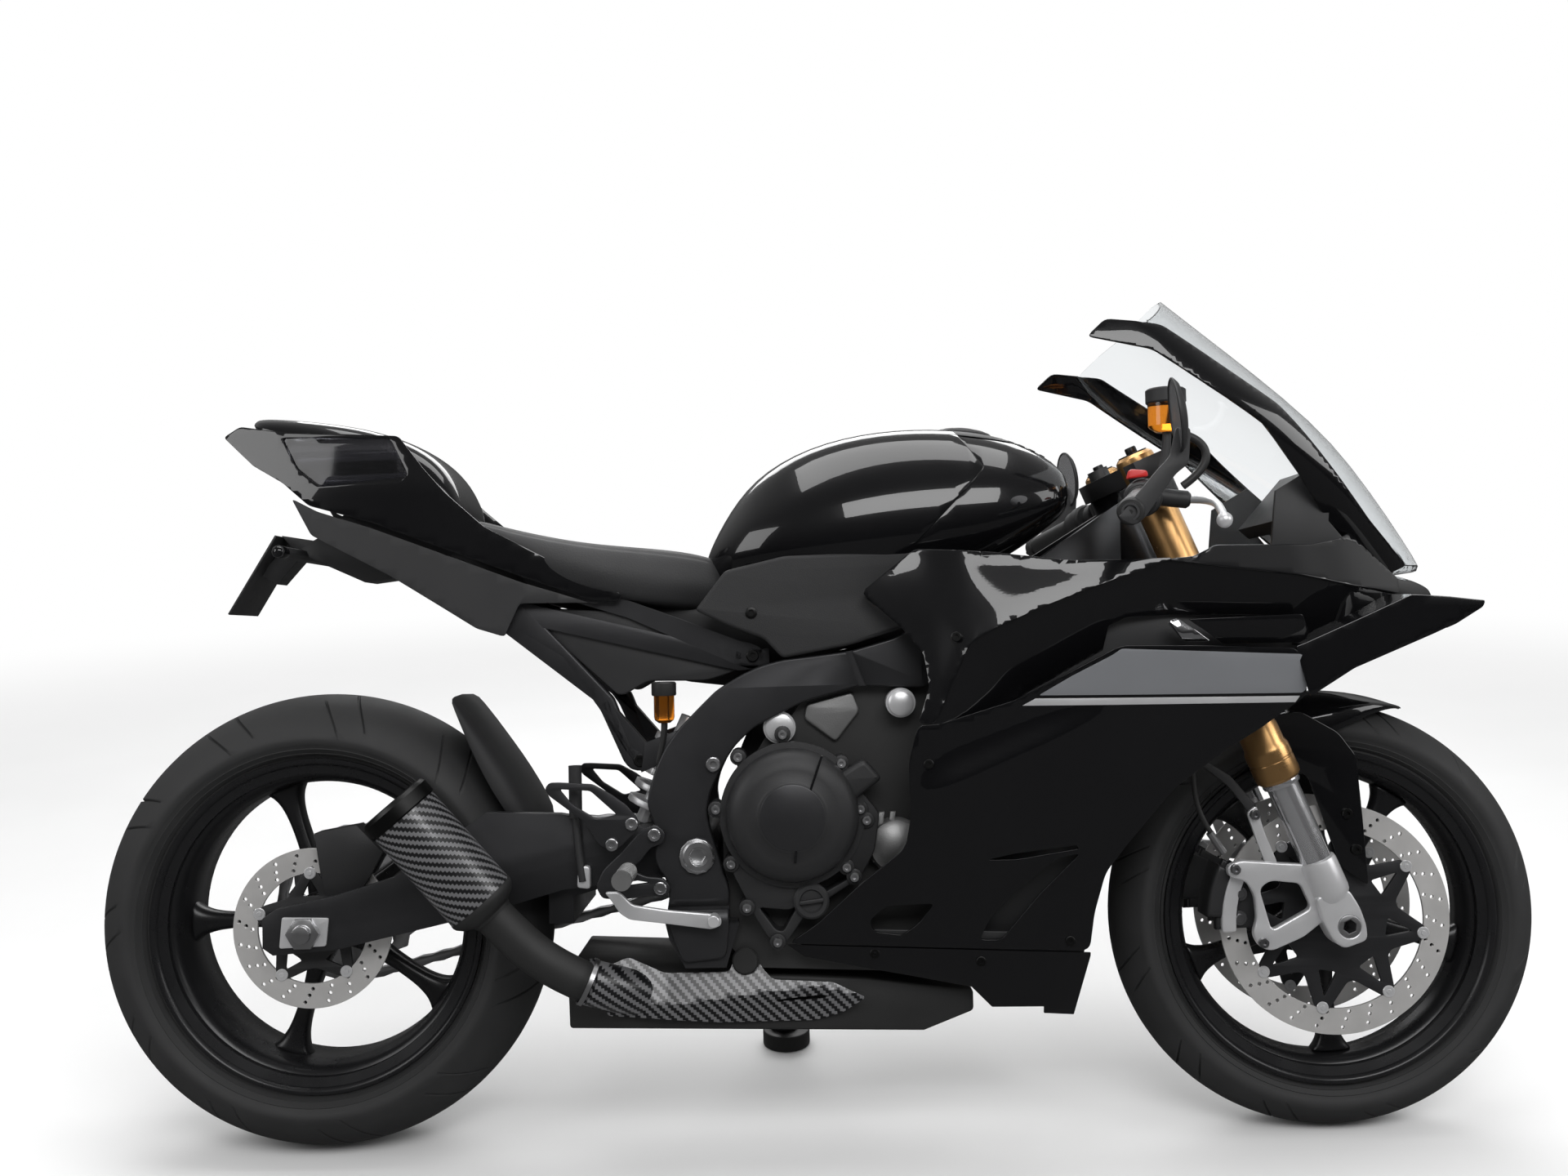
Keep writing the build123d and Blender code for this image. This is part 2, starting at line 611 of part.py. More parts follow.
COVER_HEIGHTS = ((98, 0, 46), (88, 46, 64), (50, 64, 74))
with BuildPart() as engine_covers:
    for radius, start, end in COVER_HEIGHTS:
        with BuildSketch(side_at(CLUTCH[0], -ENGINE_HALF - start, CLUTCH[1])):
            RegularPolygon(radius, 24)
        extrude(amount=end - start)
    with BuildSketch(side(-ENGINE_HALF)):
        Polygon((612, 340), (650, 304), (730, 304), (795, 350), (806, 450), (790, 540), (700, 560))
    extrude(amount=22)
    with BuildSketch(side_at(GENERATOR[0], ENGINE_HALF + 38, GENERATOR[1])):
        RegularPolygon(80, 24)
    extrude(amount=38)

with BuildPart() as radiator:
    with BuildSketch(side(165)):
        Polygon((1010, 400), (1040, 400), (1095, 650), (1064, 650))
    extrude(amount=330)
    for hand in (-1, 1):
        with BuildSketch(side(hand * 92 + 9)):
            Polygon((1064, 640), (1090, 640), (1080, 790), (1056, 790))
        extrude(amount=18)
    with BuildSketch(side(170)):
        Polygon((900, 660), (1000, 740), (1146, 826), (1146, 1000), (900, 1000))
    extrude(amount=340, mode=Mode.SUBTRACT)
    add(main_frame.part, mode=Mode.SUBTRACT)

# --- swingarm, rear suspension ---------------------------------------------------------
SWINGARM_OUT = 122
SWINGARM_IN = 104
CHAIN_OUTSIDE = CHAIN_SIDE + CHAIN_WIDTH / 2
CHAIN_INSIDE = CHAIN_SIDE - CHAIN_WIDTH / 2
ARM_CROSSING = REAR_RADIUS + 10   # the arms join just ahead of the tyre
ARM = [
    (-58, AXLE_Z + 20), (-40, AXLE_Z + 32), (42, AXLE_Z + 49), (121, AXLE_Z + 72), (250, 478),
    (350, 474), (470, 452), (520, 444), (538, 446), (538, 388), (520, 388), (354, 371),
    (220, AXLE_Z + 15), (42, AXLE_Z - 24), (-44, AXLE_Z - 30), (-58, AXLE_Z - 20),
]
LEFT_ARM = [
    (-58, AXLE_Z + 20), (-40, AXLE_Z + 32), (42, AXLE_Z + 49), (180, AXLE_Z + 80),
    (ARM_CROSSING + 30, 412), (ARM_CROSSING + 30, 322), (220, AXLE_Z - 5), (42, AXLE_Z - 30),
    (-44, AXLE_Z - 30), (-58, AXLE_Z - 20),
]
with BuildPart() as swingarm:
    with BuildSketch(side(-SWINGARM_IN)):
        Polygon(*ARM)
    extrude(amount=SWINGARM_OUT - SWINGARM_IN)
    with BuildSketch(side(CHAIN_OUTSIDE + 20)):
        Polygon(*LEFT_ARM)
    extrude(amount=18)
    # the left arm crosses inside the chain's loop to the pivot's casting
    with BuildSketch(side(CHAIN_OUTSIDE + 3)):
        Polygon((ARM_CROSSING, 322), (ARM_CROSSING + 34, 322), (ARM_CROSSING + 34, 412),
                (ARM_CROSSING, 412))
    extrude(amount=CHAIN_OUTSIDE + 3 + SWINGARM_IN)
    with BuildSketch(side(CHAIN_INSIDE - 5)):
        Polygon((ARM_CROSSING + 10, 352), (470, 388), (528, 392), (528, 440), (470, 448),
                (ARM_CROSSING + 10, 430))
    extrude(amount=CHAIN_INSIDE - 5 + SWINGARM_IN)
    with BuildSketch(side_at(PIVOT[0], CHAIN_INSIDE - 5, PIVOT[1])):
        RegularPolygon(28, 16)
    extrude(amount=CHAIN_INSIDE - 5 + FRAME_IN)
    with BuildSketch(side_at(PIVOT[0], FRAME_IN, PIVOT[1])):
        RegularPolygon(17, 12)
    extrude(amount=FRAME_IN)
    with BuildSketch(side_at(PIVOT[0], FRAME_OUT, PIVOT[1])):
        RegularPolygon(PIVOT_RADIUS, 12)
    extrude(amount=2 * FRAME_OUT, mode=Mode.SUBTRACT)
    with BuildSketch(side_at(0, CHAIN_OUTSIDE + 20, AXLE_Z)):
        Circle(AXLE_RADIUS)
    extrude(amount=CHAIN_OUTSIDE + 20 + SWINGARM_OUT, mode=Mode.SUBTRACT)
    add(main_frame.part, mode=Mode.SUBTRACT)

with BuildPart() as rear_axle:
    with BuildSketch(side_at(0, CHAIN_OUTSIDE + 34, AXLE_Z)):
        Circle(AXLE_RADIUS)
    extrude(amount=CHAIN_OUTSIDE + 34 + SWINGARM_OUT + 20)
    for face in (CHAIN_OUTSIDE + 32, -SWINGARM_OUT):
        with BuildSketch(side_at(0, face, AXLE_Z)):
            RegularPolygon(23, 6)
        extrude(amount=12)
    # the pivot's bolt shares the same hollow hexagon ends
    with BuildSketch(side_at(PIVOT[0], FRAME_OUT, PIVOT[1])):
        RegularPolygon(PIVOT_RADIUS, 12)
    extrude(amount=2 * FRAME_OUT)
    for hand in (-1, 1):
        with BuildSketch(side_at(PIVOT[0], FRAME_OUT + 6 if hand > 0 else -FRAME_OUT, PIVOT[1])):
            RegularPolygon(24, 12)
            RegularPolygon(11, 6, mode=Mode.SUBTRACT)
        extrude(amount=6)

COILS = 5
COIL_PITCH = 24
with BuildPart() as shock:
    foot_point = Vector(452, 0, 446)
    top_point = Vector(522, 0, 596)
    along = (top_point - foot_point).normalized()
    length = (top_point - foot_point).length
    with BuildSketch(Plane(origin=foot_point, z_dir=along)):
        RegularPolygon(14, 10)
    extrude(amount=length)
    for k in range(COILS):
        with BuildSketch(Plane(origin=foot_point + along * (22 + COIL_PITCH * k), z_dir=along)):
            RegularPolygon(36, 12)
            RegularPolygon(13, 10, mode=Mode.SUBTRACT)
        extrude(amount=10)
    add(swingarm.part, mode=Mode.SUBTRACT)
    add(main_frame.part, mode=Mode.SUBTRACT)

HUGGER_RADIUS = REAR_RADIUS + 16
HUGGER_ARCH = [
    (-SWINGARM_IN, 262), (-SWINGARM_IN, 298), (-60, HUGGER_RADIUS), (60, HUGGER_RADIUS),
    (96, 306), (94, 301), (58, HUGGER_RADIUS - PANEL), (-58, HUGGER_RADIUS - PANEL),
    (-SWINGARM_IN + PANEL, 296), (-SWINGARM_IN + PANEL, 262),
]
HUGGER_FROM = 26
HUGGER_TO = 74
with BuildPart() as hugger:
    add(skin([
        around(0, AXLE_Z, turn, HUGGER_ARCH)
        for turn in range(HUGGER_FROM, HUGGER_TO + 1, ARCH_STEP)
    ]))

with BuildPart() as rear_caliper:
    inner_face = -REAR_DISC_SIDE + DISC / 2 + BRAKE_GAP
    outer_face = -REAR_DISC_SIDE - DISC / 2 - BRAKE_GAP
    with BuildSketch(side_at(0, inner_face + 12, AXLE_Z)):
        Polygon((16, 78), (84, 72), (102, 104), (66, 142), (8, 132))
    extrude(amount=12)
    with BuildSketch(side_at(0, outer_face, AXLE_Z)):
        Polygon((28, 30), (60, 36), (84, 72), (102, 104), (66, 142), (8, 132), (16, 78))
    extrude(amount=SWINGARM_IN + outer_face)
    with BuildSketch(side_at(0, inner_face + 12, AXLE_Z)):
        Polygon((10, 118), (94, 100), (102, 104), (66, 142), (8, 132))
    extrude(amount=inner_face + 12 + SWINGARM_IN)

# --- exhaust ----------------------------------------------------------------------------
MUFFLER_HALF = 116
SHIELD_SIDE = 126
MUFFLER = [(356, 262), (358, 182), (840, 170), (908, 196), (908, 224), (762, 243)]
with BuildPart() as muffler_box:
    with BuildSketch(side(MUFFLER_HALF)):
        Polygon(*MUFFLER)
    extrude(amount=2 * MUFFLER_HALF)

with BuildPart() as exhaust_headers:
    for y in (-72, 0, 72):
        run = ((920, y, 548), (981, y, 500), (981, y * 0.8, 330), (880, y * 0.6, 212))
        add(pipe(bent(run, 26, 2), 20))
    add(engine_block.part, mode=Mode.SUBTRACT)
    add(muffler_box.part, mode=Mode.SUBTRACT)

# The link pipe turns out to the right under the footrest and up to a short canister.
CAN_LOW = Vector(262, -178, 356)
CAN_HIGH = Vector(150, -196, 492)
CAN_RADIUS = 49
can_axis = (CAN_HIGH - CAN_LOW).normalized()
with BuildPart() as silencer:
    run = ((470, -92, 222), (400, -152, 246), tuple(CAN_LOW - can_axis * 36),
           tuple(CAN_LOW + can_axis * 2))
    add(pipe(bent(run, 34, 2), 27, 12))
    with BuildSketch(Plane(origin=CAN_LOW, z_dir=can_axis)):
        RegularPolygon(CAN_RADIUS, 20)
    extrude(amount=(CAN_HIGH - CAN_LOW).length)
    with BuildSketch(Plane(origin=CAN_HIGH, z_dir=can_axis)):
        RegularPolygon(CAN_RADIUS + 2, 20)
    extrude(amount=14)
    with BuildSketch(Plane(origin=CAN_HIGH + can_axis * 14, z_dir=can_axis)):
        RegularPolygon(CAN_RADIUS - 12, 20)
    extrude(amount=-60, mode=Mode.SUBTRACT)
    add(muffler_box.part, mode=Mode.SUBTRACT)

with BuildPart() as heat_shield:
    for x, z in ((480, 226), (690, 214)):
        with BuildSketch(side_at(x, -MUFFLER_HALF, z)):
            RegularPolygon(9, 8)
        extrude(amount=SHIELD_SIDE - MUFFLER_HALF)
    with BuildSketch(side(-SHIELD_SIDE)):
        Polygon((410, 196), (477, 199), (693, 190), (761, 222), (716, 240), (630, 252), (609, 286),
                (582, 288), (576, 262), (489, 254), (410, 258))
    extrude(amount=6)
    add(silencer.part, mode=Mode.SUBTRACT)

# --- rear frame and its covers ----------------------------------------------------------
REAR_FRAME_OUT = 118
REAR_FRAME_IN = 98
with BuildPart() as rear_frame:
    for hand in (-1, 1):
        with BuildSketch(side(REAR_FRAME_OUT if hand > 0 else -REAR_FRAME_IN)):
            Polygon((240, 730), (301, 764), (598, 690), (640, 694), (640, 668), (598, 664),
                    (330, 728), (356, 700), (470, 566), (482, 536), (462, 528), (439, 560),
                    (400, 626), (278, 722))
        extrude(amount=REAR_FRAME_OUT - REAR_FRAME_IN)
        with BuildSketch(side(FRAME_IN if hand > 0 else -REAR_FRAME_IN)):
            Polygon((462, 528), (482, 536), (540, 566), (530, 590), (468, 568))
        extrude(amount=FRAME_IN - REAR_FRAME_IN)
    for x, z in ((300, 742), (450, 710)):
        with BuildSketch(side_at(x, REAR_FRAME_IN + 1, z)):
            RegularPolygon(11, 8)
        extrude(amount=2 * REAR_FRAME_IN + 2)
    # the tail's carrier runs on behind the seat
    with BuildSketch(side(70)):
        Polygon((20, 880), (60, 905), (200, 850), (330, 756), (280, 728), (160, 800))
    extrude(amount=140)
    add(main_frame.part, mode=Mode.SUBTRACT)

with BuildPart() as side_covers:
    for hand in (-1, 1):
        with BuildSketch(side(REAR_FRAME_OUT - 6 if hand > 0 else -REAR_FRAME_OUT + 12)):
            Polygon((310, 758), (598, 680), (535, 655), (478, 640), (440, 608), (400, 640))
        extrude(amount=6)
    add(rear_frame.part, mode=Mode.SUBTRACT)
    add(main_frame.part, mode=Mode.SUBTRACT)

# --- tank, seat and tail -----------------------------------------------------------------
TANK = (
    # forward, bottom, widest height, half-width there, half-width near the top, top
    (545, 792, 800, 60, 50, 824),
    (600, 765, 822, 122, 76, 922),
    (700, 755, 840, 156, 100, 984),
    (800, 755, 850, 168, 112, 1006),
    (930, 790, 860, 160, 108, 1000),
    (head.X - 140, 850, 880, 128, 90, 972),
    (head.X - 98, 880, 900, 104, 74, 938),
)
TANK_SEAM = [(873, 1030), (938, 936), (926, 919), (842, 832), (842, 700), (400, 700), (400, 1030)]


def tank_section(x, bottom, wide_z, wide, shoulder, top):
    """Half the tank's outline from below, then the other half mirrored."""
    half = [(wide * 0.8, bottom), (wide, wide_z), (shoulder, top - 22), (shoulder * 0.5, top - 3)]
    outline = half + [(0, top)] + [(-y, z) for y, z in reversed(half)]
    return [(x, y, z) for y, z in outline]


tank_shapes = {}
for name, mode in (("fuel_tank", Mode.INTERSECT), ("tank_cover", Mode.SUBTRACT)):
    with BuildPart() as tank_shape:
        add(skin([tank_section(*row) for row in TANK]))
        with BuildSketch(side(200)):
            Polygon(*TANK_SEAM)
        extrude(amount=400, mode=mode)
        add(main_frame.part, mode=Mode.SUBTRACT)
    tank_shapes[name] = tank_shape
fuel_tank = tank_shapes["fuel_tank"]
tank_cover = tank_shapes["tank_cover"]

KNEE = [(583, 800), (663, 818), (842, 822), (842, 800), (771, 760), (827, 700), (705, 680),
        (640, 668), (600, 668), (539, 744)]
with BuildPart() as knee_panels:
    for hand in (-1, 1):
        with BuildSketch(side(FRAME_OUT + 6 if hand > 0 else -FRAME_IN)):
            Polygon(*KNEE)
        extrude(amount=FRAME_OUT + 6 - FRAME_IN)
    add(fuel_tank.part, mode=Mode.SUBTRACT)
    add(main_frame.part, mode=Mode.SUBTRACT)
    add(rear_frame.part, mode=Mode.SUBTRACT)

SEAT = (
    # forward, bottom, half-width, shoulder height, top
    (215, 850, 92, 872, 890),
    (280, 800, 128, 840, 872),
    (377, 772, 146, 812, 848),
    (470, 752, 138, 792, 838),
    (540, 744, 104, 786, 832),
    (596, 742, 84, 780, 812),
)
with BuildPart() as seat:
    add(skin([
        [(x, -half + 16, bottom), (x, half - 16, bottom), (x, half, shoulder),
         (x, half * 0.7, top), (x, -half * 0.7, top), (x, -half, shoulder)]
        for x, bottom, half, shoulder, top in SEAT
    ]))
    for other in (fuel_tank, knee_panels, rear_frame):
        add(other.part, mode=Mode.SUBTRACT)

COWL = (
    # forward, bottom, half-width below, half-width above, top
    (215, 880, 84, 66, 912),
    (196, 900, 88, 72, 950),
    (165, 906, 92, 76, 986),
    (81, 930, 86, 70, 1022),
    (-20, 975, 60, 50, 1036),
    (-108, 1026, 34, 28, 1044),
)
with BuildPart() as seat_cowl:
    add(skin([
        [(x, -low, bottom), (x, low, bottom), (x, high, top - 8), (x, high * 0.5, top),
         (x, -high * 0.5, top), (x, -high, top - 8)]
        for x, bottom, low, high, top in COWL
    ]))
    for other in (seat, rear_frame):
        add(other.part, mode=Mode.SUBTRACT)

TAIL = (
    # forward, half-width
    (-140, 52),
    (0, 92),
    (180, 118),
    (300, 138),
    (440, 132),
)
TAIL_SIDE = [(-138, 1012), (-112, 1026), (-37, 1012), (129, 1000), (180, 936), (253, 868),
             (371, 806), (440, 770), (434, 761), (301, 764), (279, 717), (240, 729), (115, 806),
             (2, 865), (-27, 917), (-89, 962)]
with BuildPart() as tail_panels:
    for x, half in TAIL:
        with BuildSketch(across(x)):
            Polygon((half, 700), (half, 1050), (half - PANEL, 1050), (half - PANEL, 700))
    loft(ruled=True)
    mirror(about=Plane.XZ)
    with BuildSketch(side(180)):
        Polygon(*TAIL_SIDE)
    extrude(amount=360, mode=Mode.INTERSECT)
    for other in (seat, seat_cowl, rear_frame):
        add(other.part, mode=Mode.SUBTRACT)

with BuildPart() as plate_holder:
    with BuildSketch(side(30)):
        Polygon((-14, 862), (20, 880), (90, 838), (110, 806), (60, 800), (-40, 846), (-60, 870))
    extrude(amount=60)
    with BuildSketch(Plane(origin=(-92, 0, 812), x_dir=(0, 1, 0), z_dir=(-0.85, 0, 0.52))):
        Rectangle(110, 130)
    extrude(amount=3)
    with BuildSketch(side(20)):
        Polygon((-96, 815), (-70, 800), (-20, 856), (-50, 862))
    extrude(amount=40)
    with BuildSketch(side_at(-30, 130, 840)):
        RegularPolygon(9, 8)
    extrude(amount=260)
    add(rear_frame.part, mode=Mode.SUBTRACT)

# --- controls for the feet ---------------------------------------------------------------
with BuildPart() as footrests:
    for hand in (-1, 1):
        with BuildSketch(side(FRAME_OUT + 8 if hand > 0 else -FRAME_OUT)):
            Polygon((334, 512), (352, 516), (470, 470), (498, 450), (500, 400), (470, 372),
                    (419, 370), (416, 395))
            Polygon((385, 478), (450, 455), (430, 425), mode=Mode.SUBTRACT)
        extrude(amount=8)
        with BuildSketch(side_at(447, hand * (FRAME_OUT + 8) if hand < 0 else FRAME_OUT + 96, 401)):
            RegularPolygon(12, 10)
        extrude(amount=88)
    with BuildSketch(side(-FRAME_OUT - 16)):
        Polygon((440, 372), (456, 388), (515, 350), (572, 344), (572, 332), (510, 334))
    extrude(amount=8)
    with BuildSketch(side_at(447, -FRAME_OUT - 8, 380)):
        RegularPolygon(8, 8)
    extrude(amount=16)
    with BuildSketch(Plane.XY.offset(470)):
        with Locations((392, -FRAME_OUT + 7)):
            RegularPolygon(10, 12)
    extrude(amount=62)

# --- fairing ------------------------------------------------------------------------------
LEVELS = (190, 300, 460, 600, 700, 770, 830)
FAIRING = (
    # forward, half-width at each of the levels
    (640, 118, 150, 190, 205, 206, 196, 166),
    (830, 125, 165, 202, 216, 222, 212, 176),
    (1040, 135, 178, 210, 230, 243, 235, 195),
    (WHEELBASE - 190, 145, 182, 208, 226, 240, 228, 190),
    (WHEELBASE - 50, 140, 175, 200, 214, 226, 214, 172),
)
SIDE_OUTLINE = [
    (834, 822), (768, 776), (817, 716), (843, 683), (846, 608), (830, 576), (825, 512), (814, 449),
    (761, 376), (696, 324), (656, 298), (1058, 284), (1066, 346), (1089, 399),
    (WHEELBASE - 292, 452), (WHEELBASE - 204, 514), (WHEELBASE - 100, 582),
    (WHEELBASE - 53, 634), (WHEELBASE - 53, 778), (WHEELBASE - 87, 797),
    (WHEELBASE - 193, 808), (WHEELBASE - 236, 800), (WHEELBASE - 363, 802),
    (WHEELBASE - 406, 803),
]
BELLY_OUTLINE = [(656, 297), (679, 280), (902, 235), (936, 199), (1040, 193), (1058, 278),
                 (1058, 283)]
WINGLET = [(-80, 640), (-102, 672), (16, 752), (68, 748), (132, 733), (45, 691)]


def fairing_shell(levels, floor):
    """The fairing between two sides, one panel thick, closed below where it has a floor."""
    outside, inside = [], []
    for x, *halves in FAIRING:
        edge = list(zip(halves, levels))
        bare = [(y - PANEL, z) for y, z in edge]
        bare[0] = (bare[0][0], levels[0] + floor)
        for outline, body in ((edge, outside), (bare, inside)):
            body.append([(x, y, z) for y, z in outline + [(-y, z) for y, z in outline[::-1]]])
    return skin(outside), skin(inside)


FAIRING_STAYS = (
    # forward, up, outer end, inner end
    (900, 560, 214, ENGINE_HALF),
    (930, 730, 226, 120),
)
with BuildPart() as fairing_sides:
    outside, inside = fairing_shell(LEVELS, 0)
    add(outside)
    add(inside, mode=Mode.SUBTRACT)
    with BuildSketch(side(260)):
        Polygon(*SIDE_OUTLINE)
    extrude(amount=520, mode=Mode.INTERSECT)
    # stays from the engine and the frame's beams out to the panels
    for x, z, outer, inner in FAIRING_STAYS:
        for y in (outer, -inner):
            with BuildSketch(side_at(x, y, z)):
                RegularPolygon(14, 8)
            extrude(amount=outer - inner)
    for other in (engine_block, main_frame):
        add(other.part, mode=Mode.SUBTRACT)

with BuildPart() as belly_pan:
    outside, inside = fairing_shell(LEVELS[:2], PANEL)
    add(outside)
    add(inside, mode=Mode.SUBTRACT)
    with BuildSketch(side(260)):
        Polygon(*BELLY_OUTLINE)
    extrude(amount=520, mode=Mode.INTERSECT)
    with BuildSketch(side(200)):
        Polygon((900, 180), (1000, 180), (1000, 205), (900, 205))
    extrude(amount=400, mode=Mode.SUBTRACT)

# The nose, winglets, screen and dashboard are drawn from the front axle's place.
NOSE = (
    # forward, bottom, half-width there, middle height, half-width, top, half-width
    (-53, 640, 216, 700, 226, 778, 210),
    (30, 672, 172, 712, 186, 784, 168),
    (110, 705, 110, 736, 126, 782, 112),
    (170, 738, 44, 752, 52, 770, 44),
)
NOSE_WALL = 5


def nose_section(x, bottom, low, middle, wide, top, high, inset):
    """The nose's outline at one station, drawn in by an inset for its inside."""
    outline = [(low - inset, bottom + inset), (wide - inset, middle), (high - inset, top - inset)]
    return [(WHEELBASE + x, y, z) for y, z in outline + [(-y, z) for y, z in outline[::-1]]]


with BuildPart() as nose_cowl:
    add(skin([nose_section(*row, 0) for row in NOSE]))
    inside = [nose_section(*row, NOSE_WALL) for row in NOSE]
    inside[-1] = [(x - 2 * NOSE_WALL, y, z) for x, y, z in inside[-1]]
    add(skin(inside), mode=Mode.SUBTRACT)
    for hand in (-1, 1):
        with BuildSketch(side_at(WHEELBASE, 266 if hand > 0 else -196, 0)):
            Polygon(*WINGLET)
        extrude(amount=70)
    add(fairing_sides.part, mode=Mode.SUBTRACT)

SCREEN = (
    # up, forward at the middle, forward and half-width at the side
    (1174, -214, -320, 172),
    (1080, -97, -274, 210),
    (978, 15, -140, 210),
    (900, 77, -48, 172),
    (778, 164, 70, 96),
)
SCREEN_WALL = 4
SCREEN_TURNS = (0, 35, 62, 90)  # corners along the quarter of each level's bow


def bow(z, front, back, half):
    """The screen's outline at one level, from its left edge round the front to its right."""
    quarter = [
        (WHEELBASE + back + (front - back) * cos(radians(turn)), half * sin(radians(turn)), z)
        for turn in SCREEN_TURNS
    ]
    return quarter[::-1] + [(x, -y, z) for x, y, z in quarter[1:]]


with BuildPart() as windscreen:
    add(skin([bow(z, front, back, half) for z, front, back, half in SCREEN]))
    add(skin([
        bow(z, front - SCREEN_WALL - 2, back, half - SCREEN_WALL)
        for z, front, back, half in SCREEN
    ]), mode=Mode.SUBTRACT)
    with BuildSketch(side_at(WHEELBASE, 260, 0)):
        Polygon((-370, 1078), (-286, 1112), (-218, 1172), (280, 1172), (280, 779), (60, 779),
                (4, 823), (-58, 900), (-120, 978), (-265, 1078))
    extrude(amount=520, mode=Mode.INTERSECT)
    add(nose_cowl.part, mode=Mode.SUBTRACT)

CHEEK = [(-102, 779), (-90, 893), (-35, 925), (-15, 905), (-20, 850), (20, 800), (20, 779)]
with BuildPart() as dashboard:
    for hand in (-1, 1):
        with BuildSketch(side_at(WHEELBASE, 150 if hand > 0 else -144, 0)):
            Polygon(*CHEEK)
        extrude(amount=6)
    dash = (WHEELBASE - 20, 0, 880)
    with BuildSketch(Plane(origin=dash, x_dir=(0, 1, 0), z_dir=(-0.75, 0, 0.66))):
        Rectangle(170, 100)
    extrude(amount=22)
    with BuildSketch(side_at(WHEELBASE, 20, 0)):
        Polygon((-30, 870), (0, 880), (20, 800), (20, 779), (-20, 779))
    extrude(amount=40)
    for other in (nose_cowl, windscreen, fairing_sides):
        add(other.part, mode=Mode.SUBTRACT)

# --- side stand ---------------------------------------------------------------------------
STAND_LENGTH = Vector(*STAND_REACH).length
with BuildPart() as side_stand:
    with BuildSketch(STAND.offset(-7)):
        RegularPolygon(STAND_EYE, 12)
        with Locations((STAND_LENGTH / 2, 0)):
            Rectangle(STAND_LENGTH - 20, 20)
    extrude(amount=14)
    with BuildSketch(Plane(origin=foot, x_dir=(1, 0, 0), z_dir=up_world)):
        with Locations((-4, 4)):
            RegularPolygon(24, 10)
    extrude(amount=9)
    with BuildSketch(STAND.offset(-8 - GAP)):
        Circle(6 + FIT)
    extrude(amount=17, mode=Mode.SUBTRACT)

with BuildPart() as stand_pad:
    with BuildSketch(Plane(origin=foot - up_world * GAP, x_dir=(1, 0, 0), z_dir=up_world)):
        RegularPolygon(PAD_RADIUS, FACETS)
    extrude(amount=-PAD)

# --- park every piece and write it ------------------------------------------------------------
pieces = {
    "main_frame": main_frame, "rear_frame": rear_frame, "side_covers": side_covers,
    "engine_block": engine_block, "engine_covers": engine_covers, "radiator": radiator,
    "swingarm": swingarm, "rear_axle": rear_axle, "shock": shock, "hugger": hugger,
    "rear_caliper": rear_caliper, "chain": chain, "exhaust_headers": exhaust_headers,
    "muffler_box": muffler_box, "silencer": silencer, "heat_shield": heat_shield,
    "fuel_tank": fuel_tank, "tank_cover": tank_cover, "knee_panels": knee_panels, "seat": seat,
    "seat_cowl": seat_cowl, "tail_panels": tail_panels, "plate_holder": plate_holder,
    "footrests": footrests, "fairing_sides": fairing_sides, "belly_pan": belly_pan,
    "nose_cowl": nose_cowl, "windscreen": windscreen, "dashboard": dashboard,
    "stand_pad": stand_pad, "fork_legs": fork_legs, "fork_bottoms": fork_bottoms,
    "fork_yokes": fork_yokes, "handlebars": handlebars, "hand_controls": hand_controls,
    "front_calipers": front_calipers, "front_fender": front_fender, "front_rim": front_rim,
    "front_tyre": front_tyre, "front_discs": front_discs, "rear_rim": rear_rim,
    "rear_tyre": rear_tyre, "rear_disc": rear_disc, "rear_sprocket": rear_sprocket,
    "side_stand": side_stand,
}
os.makedirs("parts", exist_ok=True)
for name, piece in pieces.items():
    piece.part.move(PARKED)
    piece.part.label = name
    export_step(piece.part, f"parts/{name}.step")
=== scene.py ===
"""Looks of a fully faired sport bike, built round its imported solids."""

import json
from math import atan2, cos, exp, hypot, pi, radians, sin, sqrt

import bmesh
import bpy
from mathutils import Matrix, Vector


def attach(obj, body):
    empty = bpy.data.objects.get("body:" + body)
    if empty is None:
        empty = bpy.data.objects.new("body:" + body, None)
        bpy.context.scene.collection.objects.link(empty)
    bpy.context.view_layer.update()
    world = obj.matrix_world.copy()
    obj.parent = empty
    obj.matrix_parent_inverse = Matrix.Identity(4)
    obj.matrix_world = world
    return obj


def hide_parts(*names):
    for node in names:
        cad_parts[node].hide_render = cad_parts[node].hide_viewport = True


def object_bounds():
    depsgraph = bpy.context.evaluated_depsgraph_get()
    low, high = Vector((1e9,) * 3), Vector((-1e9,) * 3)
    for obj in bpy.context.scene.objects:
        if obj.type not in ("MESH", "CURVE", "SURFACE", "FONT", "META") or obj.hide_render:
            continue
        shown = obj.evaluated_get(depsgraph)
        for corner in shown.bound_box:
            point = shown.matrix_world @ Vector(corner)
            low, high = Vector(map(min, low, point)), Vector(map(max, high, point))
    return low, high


bl_info = {
    "name": "Sport bike",
    "version": (1, 0, 0),
    "blender": (4, 5, 0),
    "location": "View3D > Sidebar > Sport bike",
    "description": "Models and paints a fully faired sport bike round its packed solids",
    "category": "Add Mesh",
}

